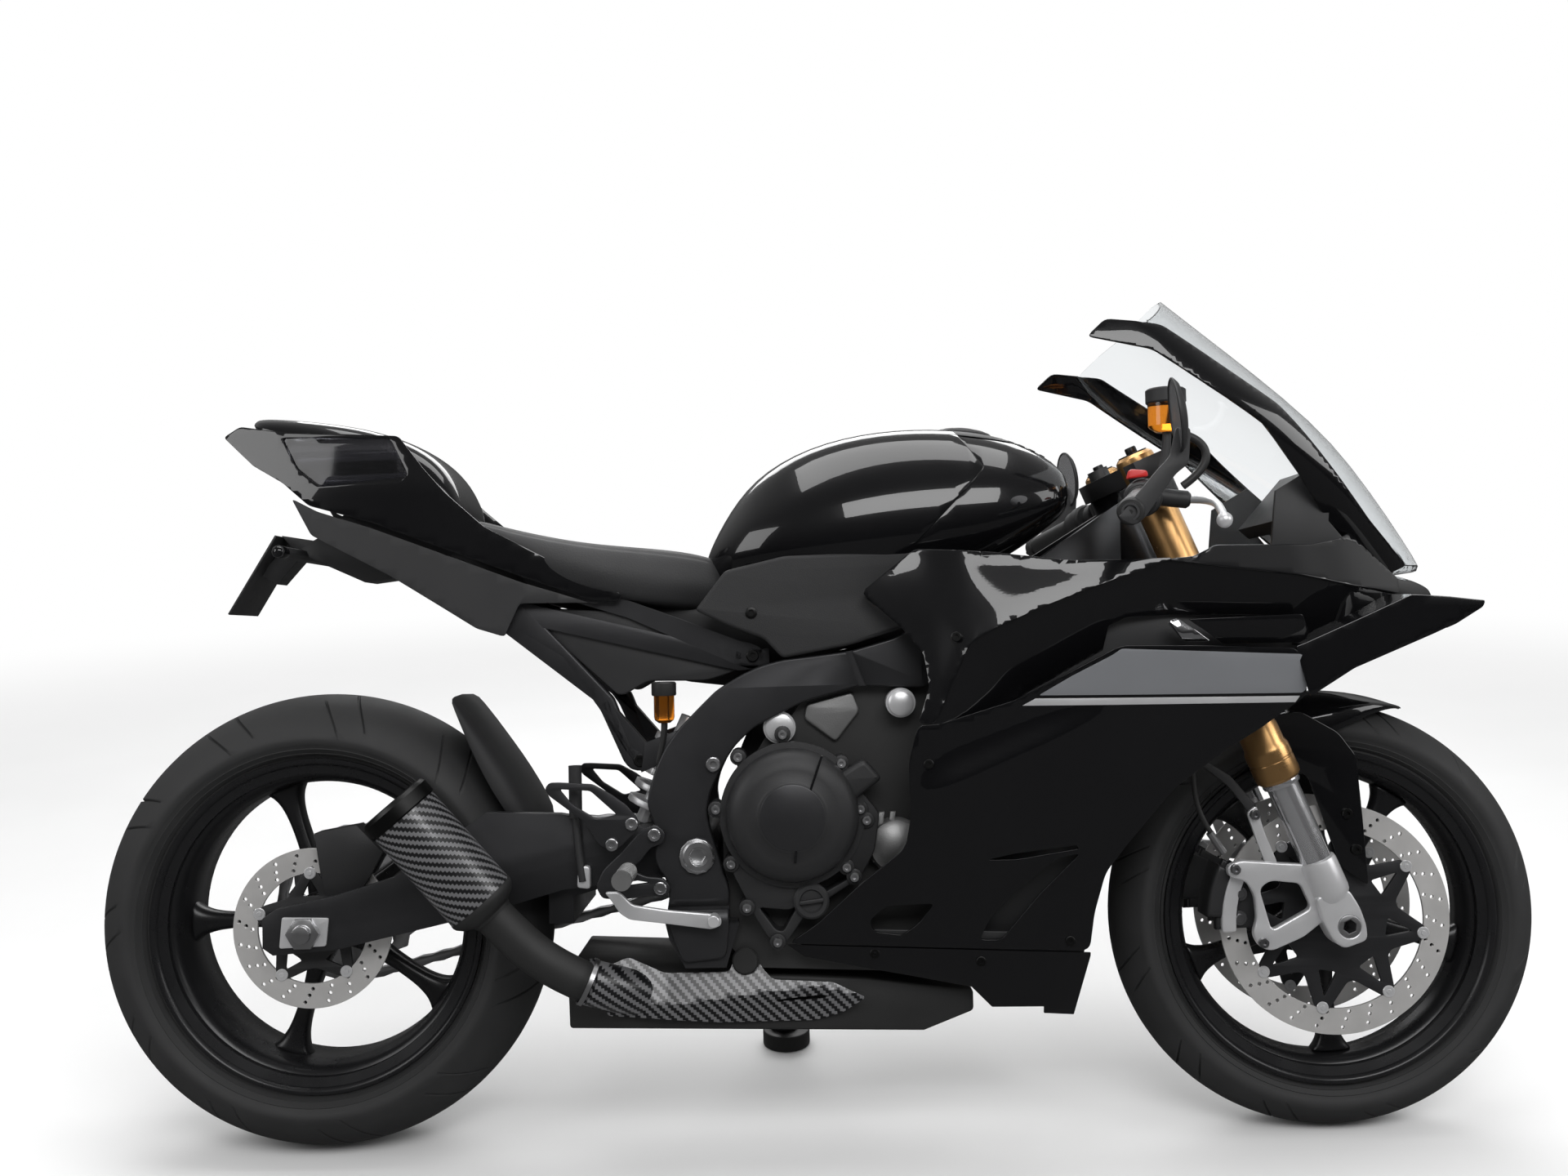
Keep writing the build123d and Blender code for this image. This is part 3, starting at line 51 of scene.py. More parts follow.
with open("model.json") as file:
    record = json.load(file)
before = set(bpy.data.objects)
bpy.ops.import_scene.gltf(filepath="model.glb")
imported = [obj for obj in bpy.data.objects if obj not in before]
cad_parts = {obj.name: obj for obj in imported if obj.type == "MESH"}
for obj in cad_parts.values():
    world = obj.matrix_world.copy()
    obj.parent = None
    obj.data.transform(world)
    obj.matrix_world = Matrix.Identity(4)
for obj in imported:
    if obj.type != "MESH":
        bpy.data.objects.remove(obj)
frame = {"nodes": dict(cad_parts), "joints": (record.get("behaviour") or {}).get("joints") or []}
CAD_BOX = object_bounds()
JOINTS = {joint["name"]: joint for joint in frame["joints"]}

# --- the bike's own frame: millimetres forward of the rear axle, to the left and up -------------
REAR_RADIUS = 320
FRONT_RADIUS = 300
LEFT = Vector(JOINTS["rear_wheel_spin"]["axis"]).normalized()
FORWARD = Vector((1, 0, 0))
UP = FORWARD.cross(LEFT)
MM = 0.001
MERGE = 2e-5                    # corners nearer than this become one, in metres
REAR_AXLE = Vector(JOINTS["rear_wheel_spin"]["pos_m"])
FRONT_AXLE = Vector(JOINTS["front_wheel_spin"]["pos_m"])
STEER_AXIS = Vector(JOINTS["steering_turn"]["axis"]).normalized()


def axes(forward, left, up, origin):
    """The matrix that carries millimetres along three directions to metres in the frame."""
    turn = Matrix((forward, left, up)).transposed().to_4x4()
    return Matrix.Translation(origin) @ turn @ Matrix.Scale(MM, 4)


BIKE = axes(FORWARD, LEFT, UP, REAR_AXLE - UP * REAR_RADIUS * MM)
FORK = axes(LEFT.cross(STEER_AXIS), LEFT, STEER_AXIS, FRONT_AXLE)
WHEELBASE = (FRONT_AXLE - REAR_AXLE).dot(FORWARD) / MM
FRONT_CENTRE = (WHEELBASE, FRONT_RADIUS)
REAR_CENTRE = (0, REAR_RADIUS)
FINISHES = {}                   # materials by plain names, filled by make_finishes


def side_view(y, base=BIKE):
    """The side view at a distance y to the left: drawn forward and up, its normal to the right."""
    return base @ Matrix(((1, 0, 0, 0), (0, 0, -1, y), (0, 1, 0, 0), (0, 0, 0, 1)))


# --- settings that a user would change ----------------------------------------------------------
class PaintSettings(bpy.types.PropertyGroup):
    """Colours of the painted and moulded pieces."""

    gloss: bpy.props.FloatVectorProperty(
        name="Gloss paint", description="Colour of the fairing, tank and tail",
        subtype="COLOR", size=3, default=(0.0035, 0.0035, 0.004),
    )
    moulded: bpy.props.FloatVectorProperty(
        name="Moulded plastic", description="Colour of the matte covers",
        subtype="COLOR", size=3, default=(0.016, 0.016, 0.017),
    )
    chassis: bpy.props.FloatVectorProperty(
        name="Chassis paint", description="Colour of the frame and swingarm",
        subtype="COLOR", size=3, default=(0.03, 0.03, 0.032),
    )
    fork: bpy.props.FloatVectorProperty(
        name="Fork tubes", description="Colour of the anodised fork tubes",
        subtype="COLOR", size=3, default=(0.62, 0.36, 0.15),
    )
    stripe: bpy.props.FloatVectorProperty(
        name="Stripe", description="Colour of the band on the fairing's sides",
        subtype="COLOR", size=3, default=(0.16, 0.165, 0.175),
    )


class StageSettings(bpy.types.PropertyGroup):
    """The floor, the light and the camera."""

    floor: bpy.props.FloatVectorProperty(
        name="Floor", description="Colour of the floor", subtype="COLOR", size=3,
        default=(0.8, 0.8, 0.8),
    )
    lens: bpy.props.FloatProperty(
        name="Lens", description="Focal length on a 36 mm wide sensor", default=33.075,
        min=10, max=200, unit="CAMERA",
    )
    distance: bpy.props.FloatProperty(
        name="Distance", description="Camera's distance to the right of the bike",
        default=2.096, min=1, max=10, unit="LENGTH",
    )


# --- small tools --------------------------------------------------------------------------------
def deselect():
    """Leave object mode with nothing selected."""
    if bpy.context.object and bpy.context.object.mode != "OBJECT":
        bpy.ops.object.mode_set(mode="OBJECT")
    bpy.ops.object.select_all(action="DESELECT")


def activate(piece):
    """Make a piece the only selected and the active one."""
    deselect()
    piece.select_set(True)
    bpy.context.view_layer.objects.active = piece


def link(name, data):
    """Put new data into the scene as an object."""
    piece = bpy.data.objects.new(name, data)
    bpy.context.collection.objects.link(piece)
    return piece


def begin_edit(piece):
    """Enter edit mode on a piece, with all of it selected."""
    activate(piece)
    bpy.ops.object.mode_set(mode="EDIT")
    bpy.ops.mesh.select_all(action="SELECT")


def end_edit():
    """Go back to object mode."""
    bpy.ops.object.mode_set(mode="OBJECT")


def apply_modifiers(piece):
    """Apply a piece's modifiers in their order."""
    activate(piece)
    for modifier in list(piece.modifiers):
        bpy.ops.object.modifier_apply(modifier=modifier.name)


def settle(piece, place=None):
    """Put a piece's place into its mesh and leave its object at the origin."""
    activate(piece)
    if piece.type != "MESH":
        bpy.ops.object.convert(target="MESH")
        piece = bpy.context.object
    bpy.ops.object.transform_apply(location=True, rotation=True, scale=True)
    if place is not None:
        piece.data.transform(place)
    return piece


def tidy_normals(piece):
    """Merge doubles and turn all faces outwards."""
    begin_edit(piece)
    bpy.ops.mesh.remove_doubles(threshold=MERGE)
    bpy.ops.mesh.normals_make_consistent(inside=False)
    end_edit()


def smooth(piece, angle=35):
    """Shade smooth, with edges over an angle kept sharp."""
    activate(piece)
    bpy.ops.object.shade_smooth_by_angle(angle=radians(angle))


def round_edges(piece, width, segments=2, angle=30):
    """Bevel a piece's edges by a width in metres."""
    bevel = piece.modifiers.new("edges", "BEVEL")
    bevel.width = width
    bevel.segments = segments
    bevel.limit_method = "ANGLE"
    bevel.angle_limit = radians(angle)
    bevel.harden_normals = False
    apply_modifiers(piece)


def subdivide(piece, levels):
    """Apply a subdivision surface."""
    surface = piece.modifiers.new("surface", "SUBSURF")
    surface.levels = surface.render_levels = levels
    apply_modifiers(piece)


def join(pieces, name):
    """Join pieces to one, with a name."""
    activate(pieces[0])
    for piece in pieces:
        piece.select_set(True)
    if len(pieces) > 1:
        bpy.ops.object.join()
    bpy.context.object.name = name
    return bpy.context.object


def repeat(piece, places):
    """Copy a piece to each place, each copy with its own mesh, and drop the first."""
    copies = []
    for place in places:
        copy = link(piece.name, piece.data.copy())
        copy.data.transform(place)
        copies.append(copy)
    bpy.data.objects.remove(piece)
    return copies


def finish(piece, body, material, replaces=(), angle=35):
    """Give a settled piece its finish and smooth shading, and let it ride on a body."""
    smooth(piece, angle)
    piece.data.materials.clear()
    piece.data.materials.append(FINISHES[material] if isinstance(material, str) else material)
    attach(piece, body)
    if replaces:
        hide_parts(*replaces)
    return piece


def rounded(outline, radius, steps=4):
    """An outline with its corners turned into short arcs."""
    points = []
    count = len(outline)
    for k in range(count):
        before, corner, after = (Vector(outline[(k + d) % count]) for d in (-1, 0, 1))
        back, ahead = before - corner, after - corner
        reach = min(radius, back.length / 2.2, ahead.length / 2.2)
        start, end = corner + back.normalized() * reach, corner + ahead.normalized() * reach
        for step in range(steps + 1):
            t = step / steps
            points.append(tuple(start * (1 - t) ** 2 + corner * 2 * t * (1 - t) + end * t ** 2))
    return points


def mirrored(half):
    """The other half of a cross-section of (side, height), in turn."""
    return [(-y, z) for y, z in reversed(half)]


def circle(x, y, radius, count=24, turn=0.0):
    """Points round a centre."""
    return [
        (x + radius * cos(turn + 2 * pi * k / count), y + radius * sin(turn + 2 * pi * k / count))
        for k in range(count)
    ]


def flat_curve(name, outlines):
    """A filled flat curve: an outline, then its holes."""
    curve = bpy.data.curves.new(name, "CURVE")
    curve.dimensions = "2D"
    curve.fill_mode = "BOTH"
    for outline in outlines:
        spline = curve.splines.new("POLY")
        spline.points.add(len(outline) - 1)
        for point, (x, y) in zip(spline.points, outline):
            point.co = (x, y, 0, 1)
        spline.use_cyclic_u = True
    return curve


def slab(name, outlines, place, thickness, bevel=0.6, steps=2):
    """A plate with holes and rounded rims, its faces half a thickness each side of its plane."""
    curve = flat_curve(name, outlines)
    curve.offset = -bevel
    curve.extrude = max(thickness / 2 - bevel, 0)
    curve.bevel_depth = bevel
    curve.bevel_resolution = steps - 1
    piece = link(name, curve)
    piece = settle(piece, place)
    tidy_normals(piece)
    return piece


def tube(name, points, radius, place=BIKE, sides=12, order=3, caps=True):
    """A round hose or rod along a smooth line, in millimetres."""
    curve = bpy.data.curves.new(name, "CURVE")
    curve.dimensions = "3D"
    spline = curve.splines.new("NURBS")
    spline.points.add(len(points) - 1)
    for point, co in zip(spline.points, points):
        point.co = (*co, 1)
    spline.order_u = order
    spline.use_endpoint_u = True
    spline.resolution_u = 8
    curve.bevel_depth = radius
    curve.bevel_resolution = sides // 4
    curve.use_fill_caps = caps
    piece = link(name, curve)
    piece = settle(piece, place)
    tidy_normals(piece)
    return piece


def lathe(name, profile, place, steps=96):
    """A closed ring or solid of revolution: a profile of (radius, height) turned about +Z."""
    deselect()
    mesh = bpy.data.meshes.new(name)
    points = [(radius, 0, height) for radius, height in profile]
    closed = profile[0] != profile[-1] and profile[0][0] > 0 and profile[-1][0] > 0
    edges = [(k, k + 1) for k in range(len(points) - 1)]
    if closed:
        edges.append((len(points) - 1, 0))
    mesh.from_pydata(points, edges, [])
    piece = link(name, mesh)
    begin_edit(piece)
    bpy.ops.mesh.spin(steps=steps, angle=2 * pi, center=(0, 0, 0), axis=(0, 0, 1), dupli=False)
    bpy.ops.mesh.select_all(action="SELECT")
    bpy.ops.mesh.remove_doubles(threshold=1e-3)
    bpy.ops.mesh.normals_make_consistent(inside=False)
    end_edit()
    piece.data.transform(place)
    return piece


def skin(name, sections, place=BIKE, caps=True, closed=True):
    """Faces between outlines that have the same number of corners."""
    model = bmesh.new()
    rows = [[model.verts.new(point) for point in section] for section in sections]
    count = len(rows[0])
    for near, far in zip(rows, rows[1:]):
        for k in range(count if closed else count - 1):
            n = (k + 1) % count
            model.faces.new((near[k], near[n], far[n], far[k]))
    if caps and closed:
        model.faces.new(rows[0][::-1])
        model.faces.new(rows[-1])
    mesh = bpy.data.meshes.new(name)
    model.to_mesh(mesh)
    model.free()
    mesh.transform(place)
    piece = link(name, mesh)
    tidy_normals(piece)
    return piece


def dressed(node_name, edge=1.2, segments=2, angle=30):
    """A merged copy of a CAD node with rounded edges, in place of it."""
    piece = link(node_name + "_skin", frame["nodes"][node_name].data.copy())
    begin_edit(piece)
    bpy.ops.mesh.remove_doubles(threshold=MERGE)
    bpy.ops.mesh.dissolve_limited(angle_limit=radians(1))
    bpy.ops.mesh.normals_make_consistent(inside=False)
    end_edit()
    round_edges(piece, edge * MM, segments, angle)
    return piece


# --- finishes -----------------------------------------------------------------------------------
def node(tree, kind, settings=None, **inputs):
    """Add a shader node with its settings and its inputs, given as values or as sockets."""
    made = tree.nodes.new(kind)
    for key, value in (settings or {}).items():
        setattr(made, key, value)
    for key, value in inputs.items():
        name = key.replace("_", " ")
        numbered = key[0] == "i" and key[1:].isdigit()
        socket = made.inputs[int(key[1:]) if numbered else name]
        if isinstance(value, bpy.types.NodeSocket):
            tree.links.new(value, socket)
        else:
            socket.default_value = value
    return made


def finish_base(name, colour, roughness, metallic=0.0, **sockets):
    """A material with a plain shader, and its tree, shader and object coordinates."""
    material = bpy.data.materials.new(name)
    material.use_nodes = True
    tree = material.node_tree
    shader = tree.nodes["Principled BSDF"]
    shader.inputs["Base Color"].default_value = (*colour, 1)
    shader.inputs["Roughness"].default_value = roughness
    shader.inputs["Metallic"].default_value = metallic
    for key, value in sockets.items():
        shader.inputs[key.replace("_", " ")].default_value = value
    place = node(tree, "ShaderNodeTexCoord").outputs["Object"]
    return material, tree, shader, place


def mottle(tree, shader, place, colour, spread, scale, roughness, rough_spread):
    """Let the colour and the roughness vary slowly over a surface."""
    noise = node(tree, "ShaderNodeTexNoise", Vector=place, Scale=scale, Detail=6.0, Roughness=0.6)
    ramp = node(tree, "ShaderNodeMix", {"data_type": "RGBA"}, i0=noise.outputs["Fac"])
    ramp.inputs[6].default_value = (*[c * (1 - spread) for c in colour], 1)
    ramp.inputs[7].default_value = (*[min(c * (1 + spread), 1) for c in colour], 1)
    tree.links.new(ramp.outputs[2], shader.inputs["Base Color"])
    span = node(
        tree, "ShaderNodeMapRange", i0=noise.outputs["Fac"], i1=0.3, i2=0.7,
        i3=roughness - rough_spread, i4=roughness + rough_spread,
    )
    tree.links.new(span.outputs[0], shader.inputs["Roughness"])


def grain(tree, shader, place, scale, depth, detail=3.0):
    """A fine moulded or cast grain."""
    noise = node(tree, "ShaderNodeTexNoise", Vector=place, Scale=scale, Detail=detail)
    bump = node(tree, "ShaderNodeBump", Strength=depth, Distance=0.0004,
                Height=noise.outputs["Fac"])
    tree.links.new(bump.outputs[0], shader.inputs["Normal"])


def gloss_paint(name, colour):
    """Deep solid paint under a clear coat, with a slight orange peel."""
    material, tree, shader, place = finish_base(
        name, colour, 0.22, Coat_Weight=1.0, Coat_Roughness=0.02, Specular_IOR_Level=0.1,
    )
    mottle(tree, shader, place, colour, 0.15, 9.0, 0.2, 0.04)
    noise = node(tree, "ShaderNodeTexNoise", Vector=place, Scale=420.0, Detail=1.0)
    bump = node(tree, "ShaderNodeBump", Strength=0.02, Distance=0.0002,
                Height=noise.outputs["Fac"])
    tree.links.new(bump.outputs[0], shader.inputs["Coat Normal"])
    return material


def satin(name, colour, roughness, metallic, scale, depth, spread=0.12):
    """Powder coat, cast metal or moulded plastic: a colour, a sheen and a grain."""
    material, tree, shader, place = finish_base(name, colour, roughness, metallic)
    mottle(tree, shader, place, colour, spread, 14.0, roughness, 0.05)
    grain(tree, shader, place, scale, depth)
    return material


def machined(name, colour, roughness, metallic=1.0, streak=(4.0, 4.0, 900.0)):
    """Bare or anodised metal with fine tool lines."""
    material, tree, shader, place = finish_base(name, colour, roughness, metallic)
    mottle(tree, shader, place, colour, 0.06, 22.0, roughness, 0.05)
    lines = node(tree, "ShaderNodeMapping", Vector=place, Scale=streak)
    noise = node(tree, "ShaderNodeTexNoise", Vector=lines.outputs[0], Scale=1.0, Detail=2.0)
    bump = node(tree, "ShaderNodeBump", Strength=0.015, Distance=0.0002,
                Height=noise.outputs["Fac"])
    tree.links.new(bump.outputs[0], shader.inputs["Normal"])
    return material


def turned_disc(name, colour, centre):
    """Brake steel, ground in rings about its axle."""
    material, tree, shader, place = finish_base(name, colour, 0.34, 0.6)
    mottle(tree, shader, place, colour, 0.08, 30.0, 0.34, 0.05)
    moved = node(tree, "ShaderNodeMapping", {"vector_type": "POINT"}, Vector=place,
                 Location=[-c for c in centre])
    parts = node(tree, "ShaderNodeVectorMath", {"operation": "LENGTH"}, i0=moved.outputs[0])
    rings = node(tree, "ShaderNodeTexNoise", {"noise_dimensions": "1D"}, W=parts.outputs["Value"],
                 Scale=1600.0, Detail=2.0)
    bump = node(tree, "ShaderNodeBump", Strength=0.12, Distance=0.0002,
                Height=rings.outputs["Fac"])
    tree.links.new(bump.outputs[0], shader.inputs["Normal"])
    return material


def clear_plastic(name, colour, roughness=0.02):
    """A clear or tinted moulding."""
    material, tree, shader, place = finish_base(
        name, colour, roughness, Transmission_Weight=1.0, IOR=1.45,
    )
    noise = node(tree, "ShaderNodeTexNoise", Vector=place, Scale=60.0, Detail=2.0)
    span = node(tree, "ShaderNodeMapRange", i0=noise.outputs["Fac"], i3=roughness,
                i4=roughness + 0.03)
    tree.links.new(span.outputs[0], shader.inputs["Roughness"])
    return material


def rubber(name, colour, roughness=0.72):
    """Tyre rubber with a dusty bloom."""
    material, tree, shader, place = finish_base(name, colour, roughness)
    mottle(tree, shader, place, colour, 0.25, 18.0, roughness, 0.07)
    grain(tree, shader, place, 900.0, 0.25, 4.0)
    return material


def carbon_weave(name, pitch=0.0038):
    """A two by two twill of carbon tows under a clear coat, on the piece's own UV map."""
    material, tree, shader, _ = finish_base(
        name, (0.02, 0.02, 0.022), 0.36, 0.2, Coat_Weight=0.3, Coat_Roughness=0.12,
    )
    uv = node(tree, "ShaderNodeTexCoord").outputs["UV"]
    parts = node(tree, "ShaderNodeSeparateXYZ", Vector=uv)
    cells = []
    for axis in ("X", "Y"):
        share = node(tree, "ShaderNodeMath", {"operation": "DIVIDE"}, i0=parts.outputs[axis],
                     i1=pitch)
        cells.append(node(tree, "ShaderNodeMath", {"operation": "FLOOR"}, i0=share.outputs[0]))
    total = node(tree, "ShaderNodeMath", {"operation": "ADD"}, i0=cells[0].outputs[0],
                 i1=cells[1].outputs[0])
    turn = node(tree, "ShaderNodeMath", {"operation": "FLOORED_MODULO"}, i0=total.outputs[0],
                i1=4.0)
    warp = node(tree, "ShaderNodeMath", {"operation": "LESS_THAN"}, i0=turn.outputs[0], i1=1.5)
    mix = node(tree, "ShaderNodeMix", {"data_type": "RGBA"}, i0=warp.outputs[0])
    mix.inputs[6].default_value = (0.006, 0.006, 0.007, 1)
    mix.inputs[7].default_value = (0.13, 0.13, 0.135, 1)
    tree.links.new(mix.outputs[2], shader.inputs["Base Color"])
    bump = node(tree, "ShaderNodeBump", Strength=0.15, Distance=0.0002, Height=warp.outputs[0])
    tree.links.new(bump.outputs[0], shader.inputs["Normal"])
    return material


def make_finishes(paint):
    """All finishes of the bike, by plain names."""
    FINISHES.update(
        gloss=gloss_paint("gloss_black", paint.gloss),
        moulded=satin("matte_black", paint.moulded, 0.55, 0.0, 1500.0, 0.25),
        textured=satin("textured_black", [c * 0.9 for c in paint.moulded], 0.7, 0.0, 700.0, 0.7),
        chassis=satin("satin_frame", paint.chassis, 0.38, 0.55, 1200.0, 0.12),
        engine=satin("engine_black", (0.02, 0.02, 0.021), 0.5, 0.3, 800.0, 0.35),
        cast=satin("cast_grey", (0.28, 0.28, 0.28), 0.45, 0.9, 600.0, 0.4),
        wheel=satin("wheel_black", (0.012, 0.012, 0.013), 0.28, 0.3, 900.0, 0.06),
        tyre=rubber("tyre_rubber", (0.017, 0.017, 0.0175)),
        hose=rubber("hose_rubber", (0.014, 0.014, 0.014), 0.5),
        seat=satin("seat_cover", (0.017, 0.017, 0.018), 0.62, 0.0, 420.0, 0.8),
        steel=machined("steel", (0.56, 0.56, 0.57), 0.32),
        bolt=machined("bolt_steel", (0.34, 0.34, 0.35), 0.3),
        black_bolt=machined("black_bolt", (0.03, 0.03, 0.03), 0.38),
        chrome=satin("chrome", (0.74, 0.74, 0.76), 0.14, 0.9, 60.0, 0.01, 0.03),
        gold=satin("gold_tube", paint.fork, 0.3, 0.95, 60.0, 0.01, 0.04),
        silver=machined("satin_silver", (0.6, 0.6, 0.61), 0.36, 0.6),
        titanium=machined("titanium", (0.42, 0.36, 0.31), 0.3),
        pipe=satin("pipe_black", (0.018, 0.018, 0.018), 0.6, 0.2, 500.0, 0.3),
        carbon=carbon_weave("carbon"),
        clear=clear_plastic("clear", (0.93, 0.95, 0.96)),
        smoke=clear_plastic("smoke_lens", (0.12, 0.12, 0.13), 0.05),
        amber=clear_plastic("amber_plastic", (0.75, 0.24, 0.02), 0.12),
        red=satin("red_plastic", (0.5, 0.012, 0.01), 0.35, 0.0, 900.0, 0.1),
        stripe=satin("stripe", paint.stripe, 0.34, 0.2, 1500.0, 0.04, 0.05),
        lamp=machined("lamp_bowl", (0.7, 0.7, 0.72), 0.12),
    )


# --- stage --------------------------------------------------------------------------------------
class SPORTBIKE_OT_stage(bpy.types.Operator):
    """Set the floor, the lamps and the camera"""

    bl_idname = "sportbike.stage"
    bl_label = "Stage"

    def execute(self, context):
        settings = context.scene.sportbike_stage
        context.scene.view_settings.view_transform = "Standard"
        make_floor(settings.floor)
        make_lamps()
        make_world(context.scene)
        make_camera(context.scene, settings)
        return {"FINISHED"}


FLOOR_SIZE = 24                 # metres across
WHITE_FROM, WHITE_AT = 1.6, 6.0  # the floor fades to white between these distances


def make_floor(colour):
    """A wide pale floor with a slight mottle, pale to the camera's eye past the shadow; to glossy
    rays it is a dim glow, a painted dark reflection.
    """
    deselect()
    bpy.ops.mesh.primitive_plane_add(size=FLOOR_SIZE, location=(0, 0, CAD_BOX[0][2]))
    floor = bpy.context.object
    floor.name = "floor"
    material, tree, shader, place = finish_base("floor", colour, 0.6, Specular_IOR_Level=0.2)
    mottle(tree, shader, place, colour, 0.02, 3.0, 0.6, 0.05)
    reach = node(tree, "ShaderNodeVectorMath", {"operation": "LENGTH"}, i0=place)
    far = node(tree, "ShaderNodeMapRange", {"interpolation_type": "SMOOTHSTEP"},
               i0=reach.outputs["Value"], i1=WHITE_FROM, i2=WHITE_AT)
    path = node(tree, "ShaderNodeLightPath")
    eye = node(tree, "ShaderNodeMath", {"operation": "MULTIPLY"}, i0=far.outputs[0],
               i1=path.outputs["Is Camera Ray"])
    white = node(tree, "ShaderNodeEmission", Color=(1, 1, 1, 1), Strength=1.0)
    # Painted reflection: glossy rays see the floor as a dim white glow of strength 0.1, not its lit
    # colour, so the gloss paint reflects a dark floor.
    mirrored = node(tree, "ShaderNodeEmission", Color=(1, 1, 1, 1), Strength=0.1)
    gloss = node(tree, "ShaderNodeMixShader", i0=path.outputs["Is Glossy Ray"],
                 i1=shader.outputs[0], i2=mirrored.outputs[0])
    both = node(tree, "ShaderNodeMixShader", i0=eye.outputs[0], i1=gloss.outputs[0],
                i2=white.outputs[0])
    tree.links.new(both.outputs[0], tree.nodes["Material Output"].inputs["Surface"])
    floor.data.materials.append(material)


LAMPS = (
    # name, place, aim, size along and across, watts
    ("key", (0.6, -3.2, 3.4), (0.1, 0, 0.5), (3.2, 1.6), 95),
    ("fill", (-3.4, -1.8, 2.2), (0, 0, 0.5), (2.0, 1.8), 35),
    ("front", (3.6, -1.4, 2.2), (0, 0, 0.5), (2.0, 1.8), 40),
    ("back", (0, 3.4, 3.0), (0, 0, 0.6), (4.0, 1.6), 70),
    ("top", (0, 0.2, 4.2), (0, 0, 0), (3.6, 1.6), 70),
)


def make_lamps():
    """Large soft panels round the bike."""
    for name, place, aim, (along, across), watts in LAMPS:
        light = bpy.data.lights.new(name, "AREA")
        light.shape = "RECTANGLE"
        light.size, light.size_y = along, across
        light.energy = watts
        lamp = link(name, light)
        lamp.location = place
        lamp.rotation_euler = (Vector(aim) - Vector(place)).to_track_quat("-Z", "Y").to_euler()


def make_world(scene):
    """A pale surround: white to the camera, softer where it lights, darker low for the gloss."""
    world = bpy.data.worlds.new("studio")
    scene.world = world
    world.use_nodes = True
    tree = world.node_tree
    background = tree.nodes["Background"]
    place = node(tree, "ShaderNodeTexCoord").outputs["Generated"]
    parts = node(tree, "ShaderNodeSeparateXYZ", Vector=place)
    rise = node(tree, "ShaderNodeMapRange", {"interpolation_type": "SMOOTHSTEP"},
                i0=parts.outputs["Z"], i1=-0.1, i2=0.6, i3=0.1, i4=0.85)
    away = node(tree, "ShaderNodeMapRange", {"interpolation_type": "SMOOTHSTEP"},
                i0=parts.outputs["Y"], i1=-0.5, i2=0.6, i3=0.35, i4=1.0)
    ramp = node(tree, "ShaderNodeMath", {"operation": "MULTIPLY"}, i0=rise.outputs[0],
                i1=away.outputs[0])
    path = node(tree, "ShaderNodeLightPath")
    dim = node(tree, "ShaderNodeMapRange", i0=path.outputs["Is Glossy Ray"], i3=1.0, i4=0.45)
    lit = node(tree, "ShaderNodeMath", {"operation": "MULTIPLY"}, i0=ramp.outputs[0],
               i1=dim.outputs[0])
    direct = node(tree, "ShaderNodeMath", {"operation": "MAXIMUM"},
                  i0=path.outputs["Is Camera Ray"], i1=path.outputs["Is Transmission Ray"])
    seen = node(tree, "ShaderNodeMix", {"data_type": "FLOAT"},
                i0=direct.outputs[0], i2=lit.outputs[0], i3=1.0)
    tree.links.new(seen.outputs[0], background.inputs["Strength"])
    background.inputs["Color"].default_value = (1, 1, 1, 1)


# The camera stands beside the upright bike: forward, right and up of it, in metres.
CAMERA_FORWARD = 0.670
CAMERA_UP = 0.701
CAMERA_YAW = 0.23
CAMERA_PITCH = 2.17
CAMERA_ROLL = 1.21


def make_camera(scene, settings):
    """The side view, a little from the front."""
    data = bpy.data.cameras.new("camera")
    data.sensor_width = 36
    data.sensor_fit = "HORIZONTAL"
    data.lens = settings.lens
    yaw, pitch, roll = (
        Matrix.Rotation(radians(angle), 3, axis)
        for angle, axis in ((CAMERA_YAW, "Z"), (CAMERA_PITCH, "X"), (CAMERA_ROLL, "Y"))
    )
    turn = yaw @ pitch @ roll
    right, ahead, up = (turn.col[k].copy() for k in range(3))
    look = Matrix((right, up, -ahead)).transposed()
    parked = Matrix((FORWARD, LEFT, UP)).transposed()
    origin = REAR_AXLE - UP * REAR_RADIUS * MM
    place = Vector((CAMERA_FORWARD, -settings.distance, CAMERA_UP))
    camera = link("camera", data)
    camera.matrix_world = (
        Matrix.Translation(origin + parked @ place) @ (parked @ look).to_4x4()
    )
    scene.camera = camera


# --- wheels -------------------------------------------------------------------------------------
RIM_RADIUS = 232.3
WHEELS = (
    # name, body, centre, radius, crown, half-width over the lips, hub half-width, hub radius,
    # spoke half-depth, first spoke, grooves round the tread
    ("rear", "rear_wheel", REAR_CENTRE, REAR_RADIUS, 107, 77, 62, 44, 20, 37, 11),
    ("front", "front_wheel", FRONT_CENTRE, FRONT_RADIUS, 67, 51, 52, 36, 15, 57, 12),
)
TREAD_ARC = 62                   # degrees of the crown each side of the middle
TREAD_ROWS = 16                  # rows of faces each side of the middle
GROOVE_DEPTH = 4.2
GROOVES = (
    # start of the groove as a share of a period, hand, from and to as shares of the half tread
    (0.00, 1, 0.10, 0.82), (0.27, 1, 0.42, 0.97), (0.50, -1, 0.10, 0.82), (0.77, -1, 0.42, 0.97),
)
GROOVE_SHARE = 0.028             # a groove's width as a share of a period
GROOVE_WALL = 0.008
SWEEP = 0.17                     # radians that a groove runs back from the middle to the edge
WALL_RIBS = (
    # share of the way down the tyre's wall, how far the wall stands out there
    (0.12, 0.2), (0.3, 0.6), (0.34, -0.2), (0.5, -0.4), (0.53, 0.6), (0.72, -1.6), (0.75, -0.6),
    (0.88, -4.5), (0.91, -3.6),
)
WELL_RADIUS = 197
WHEEL_BORE = 19
SPOKES = 5
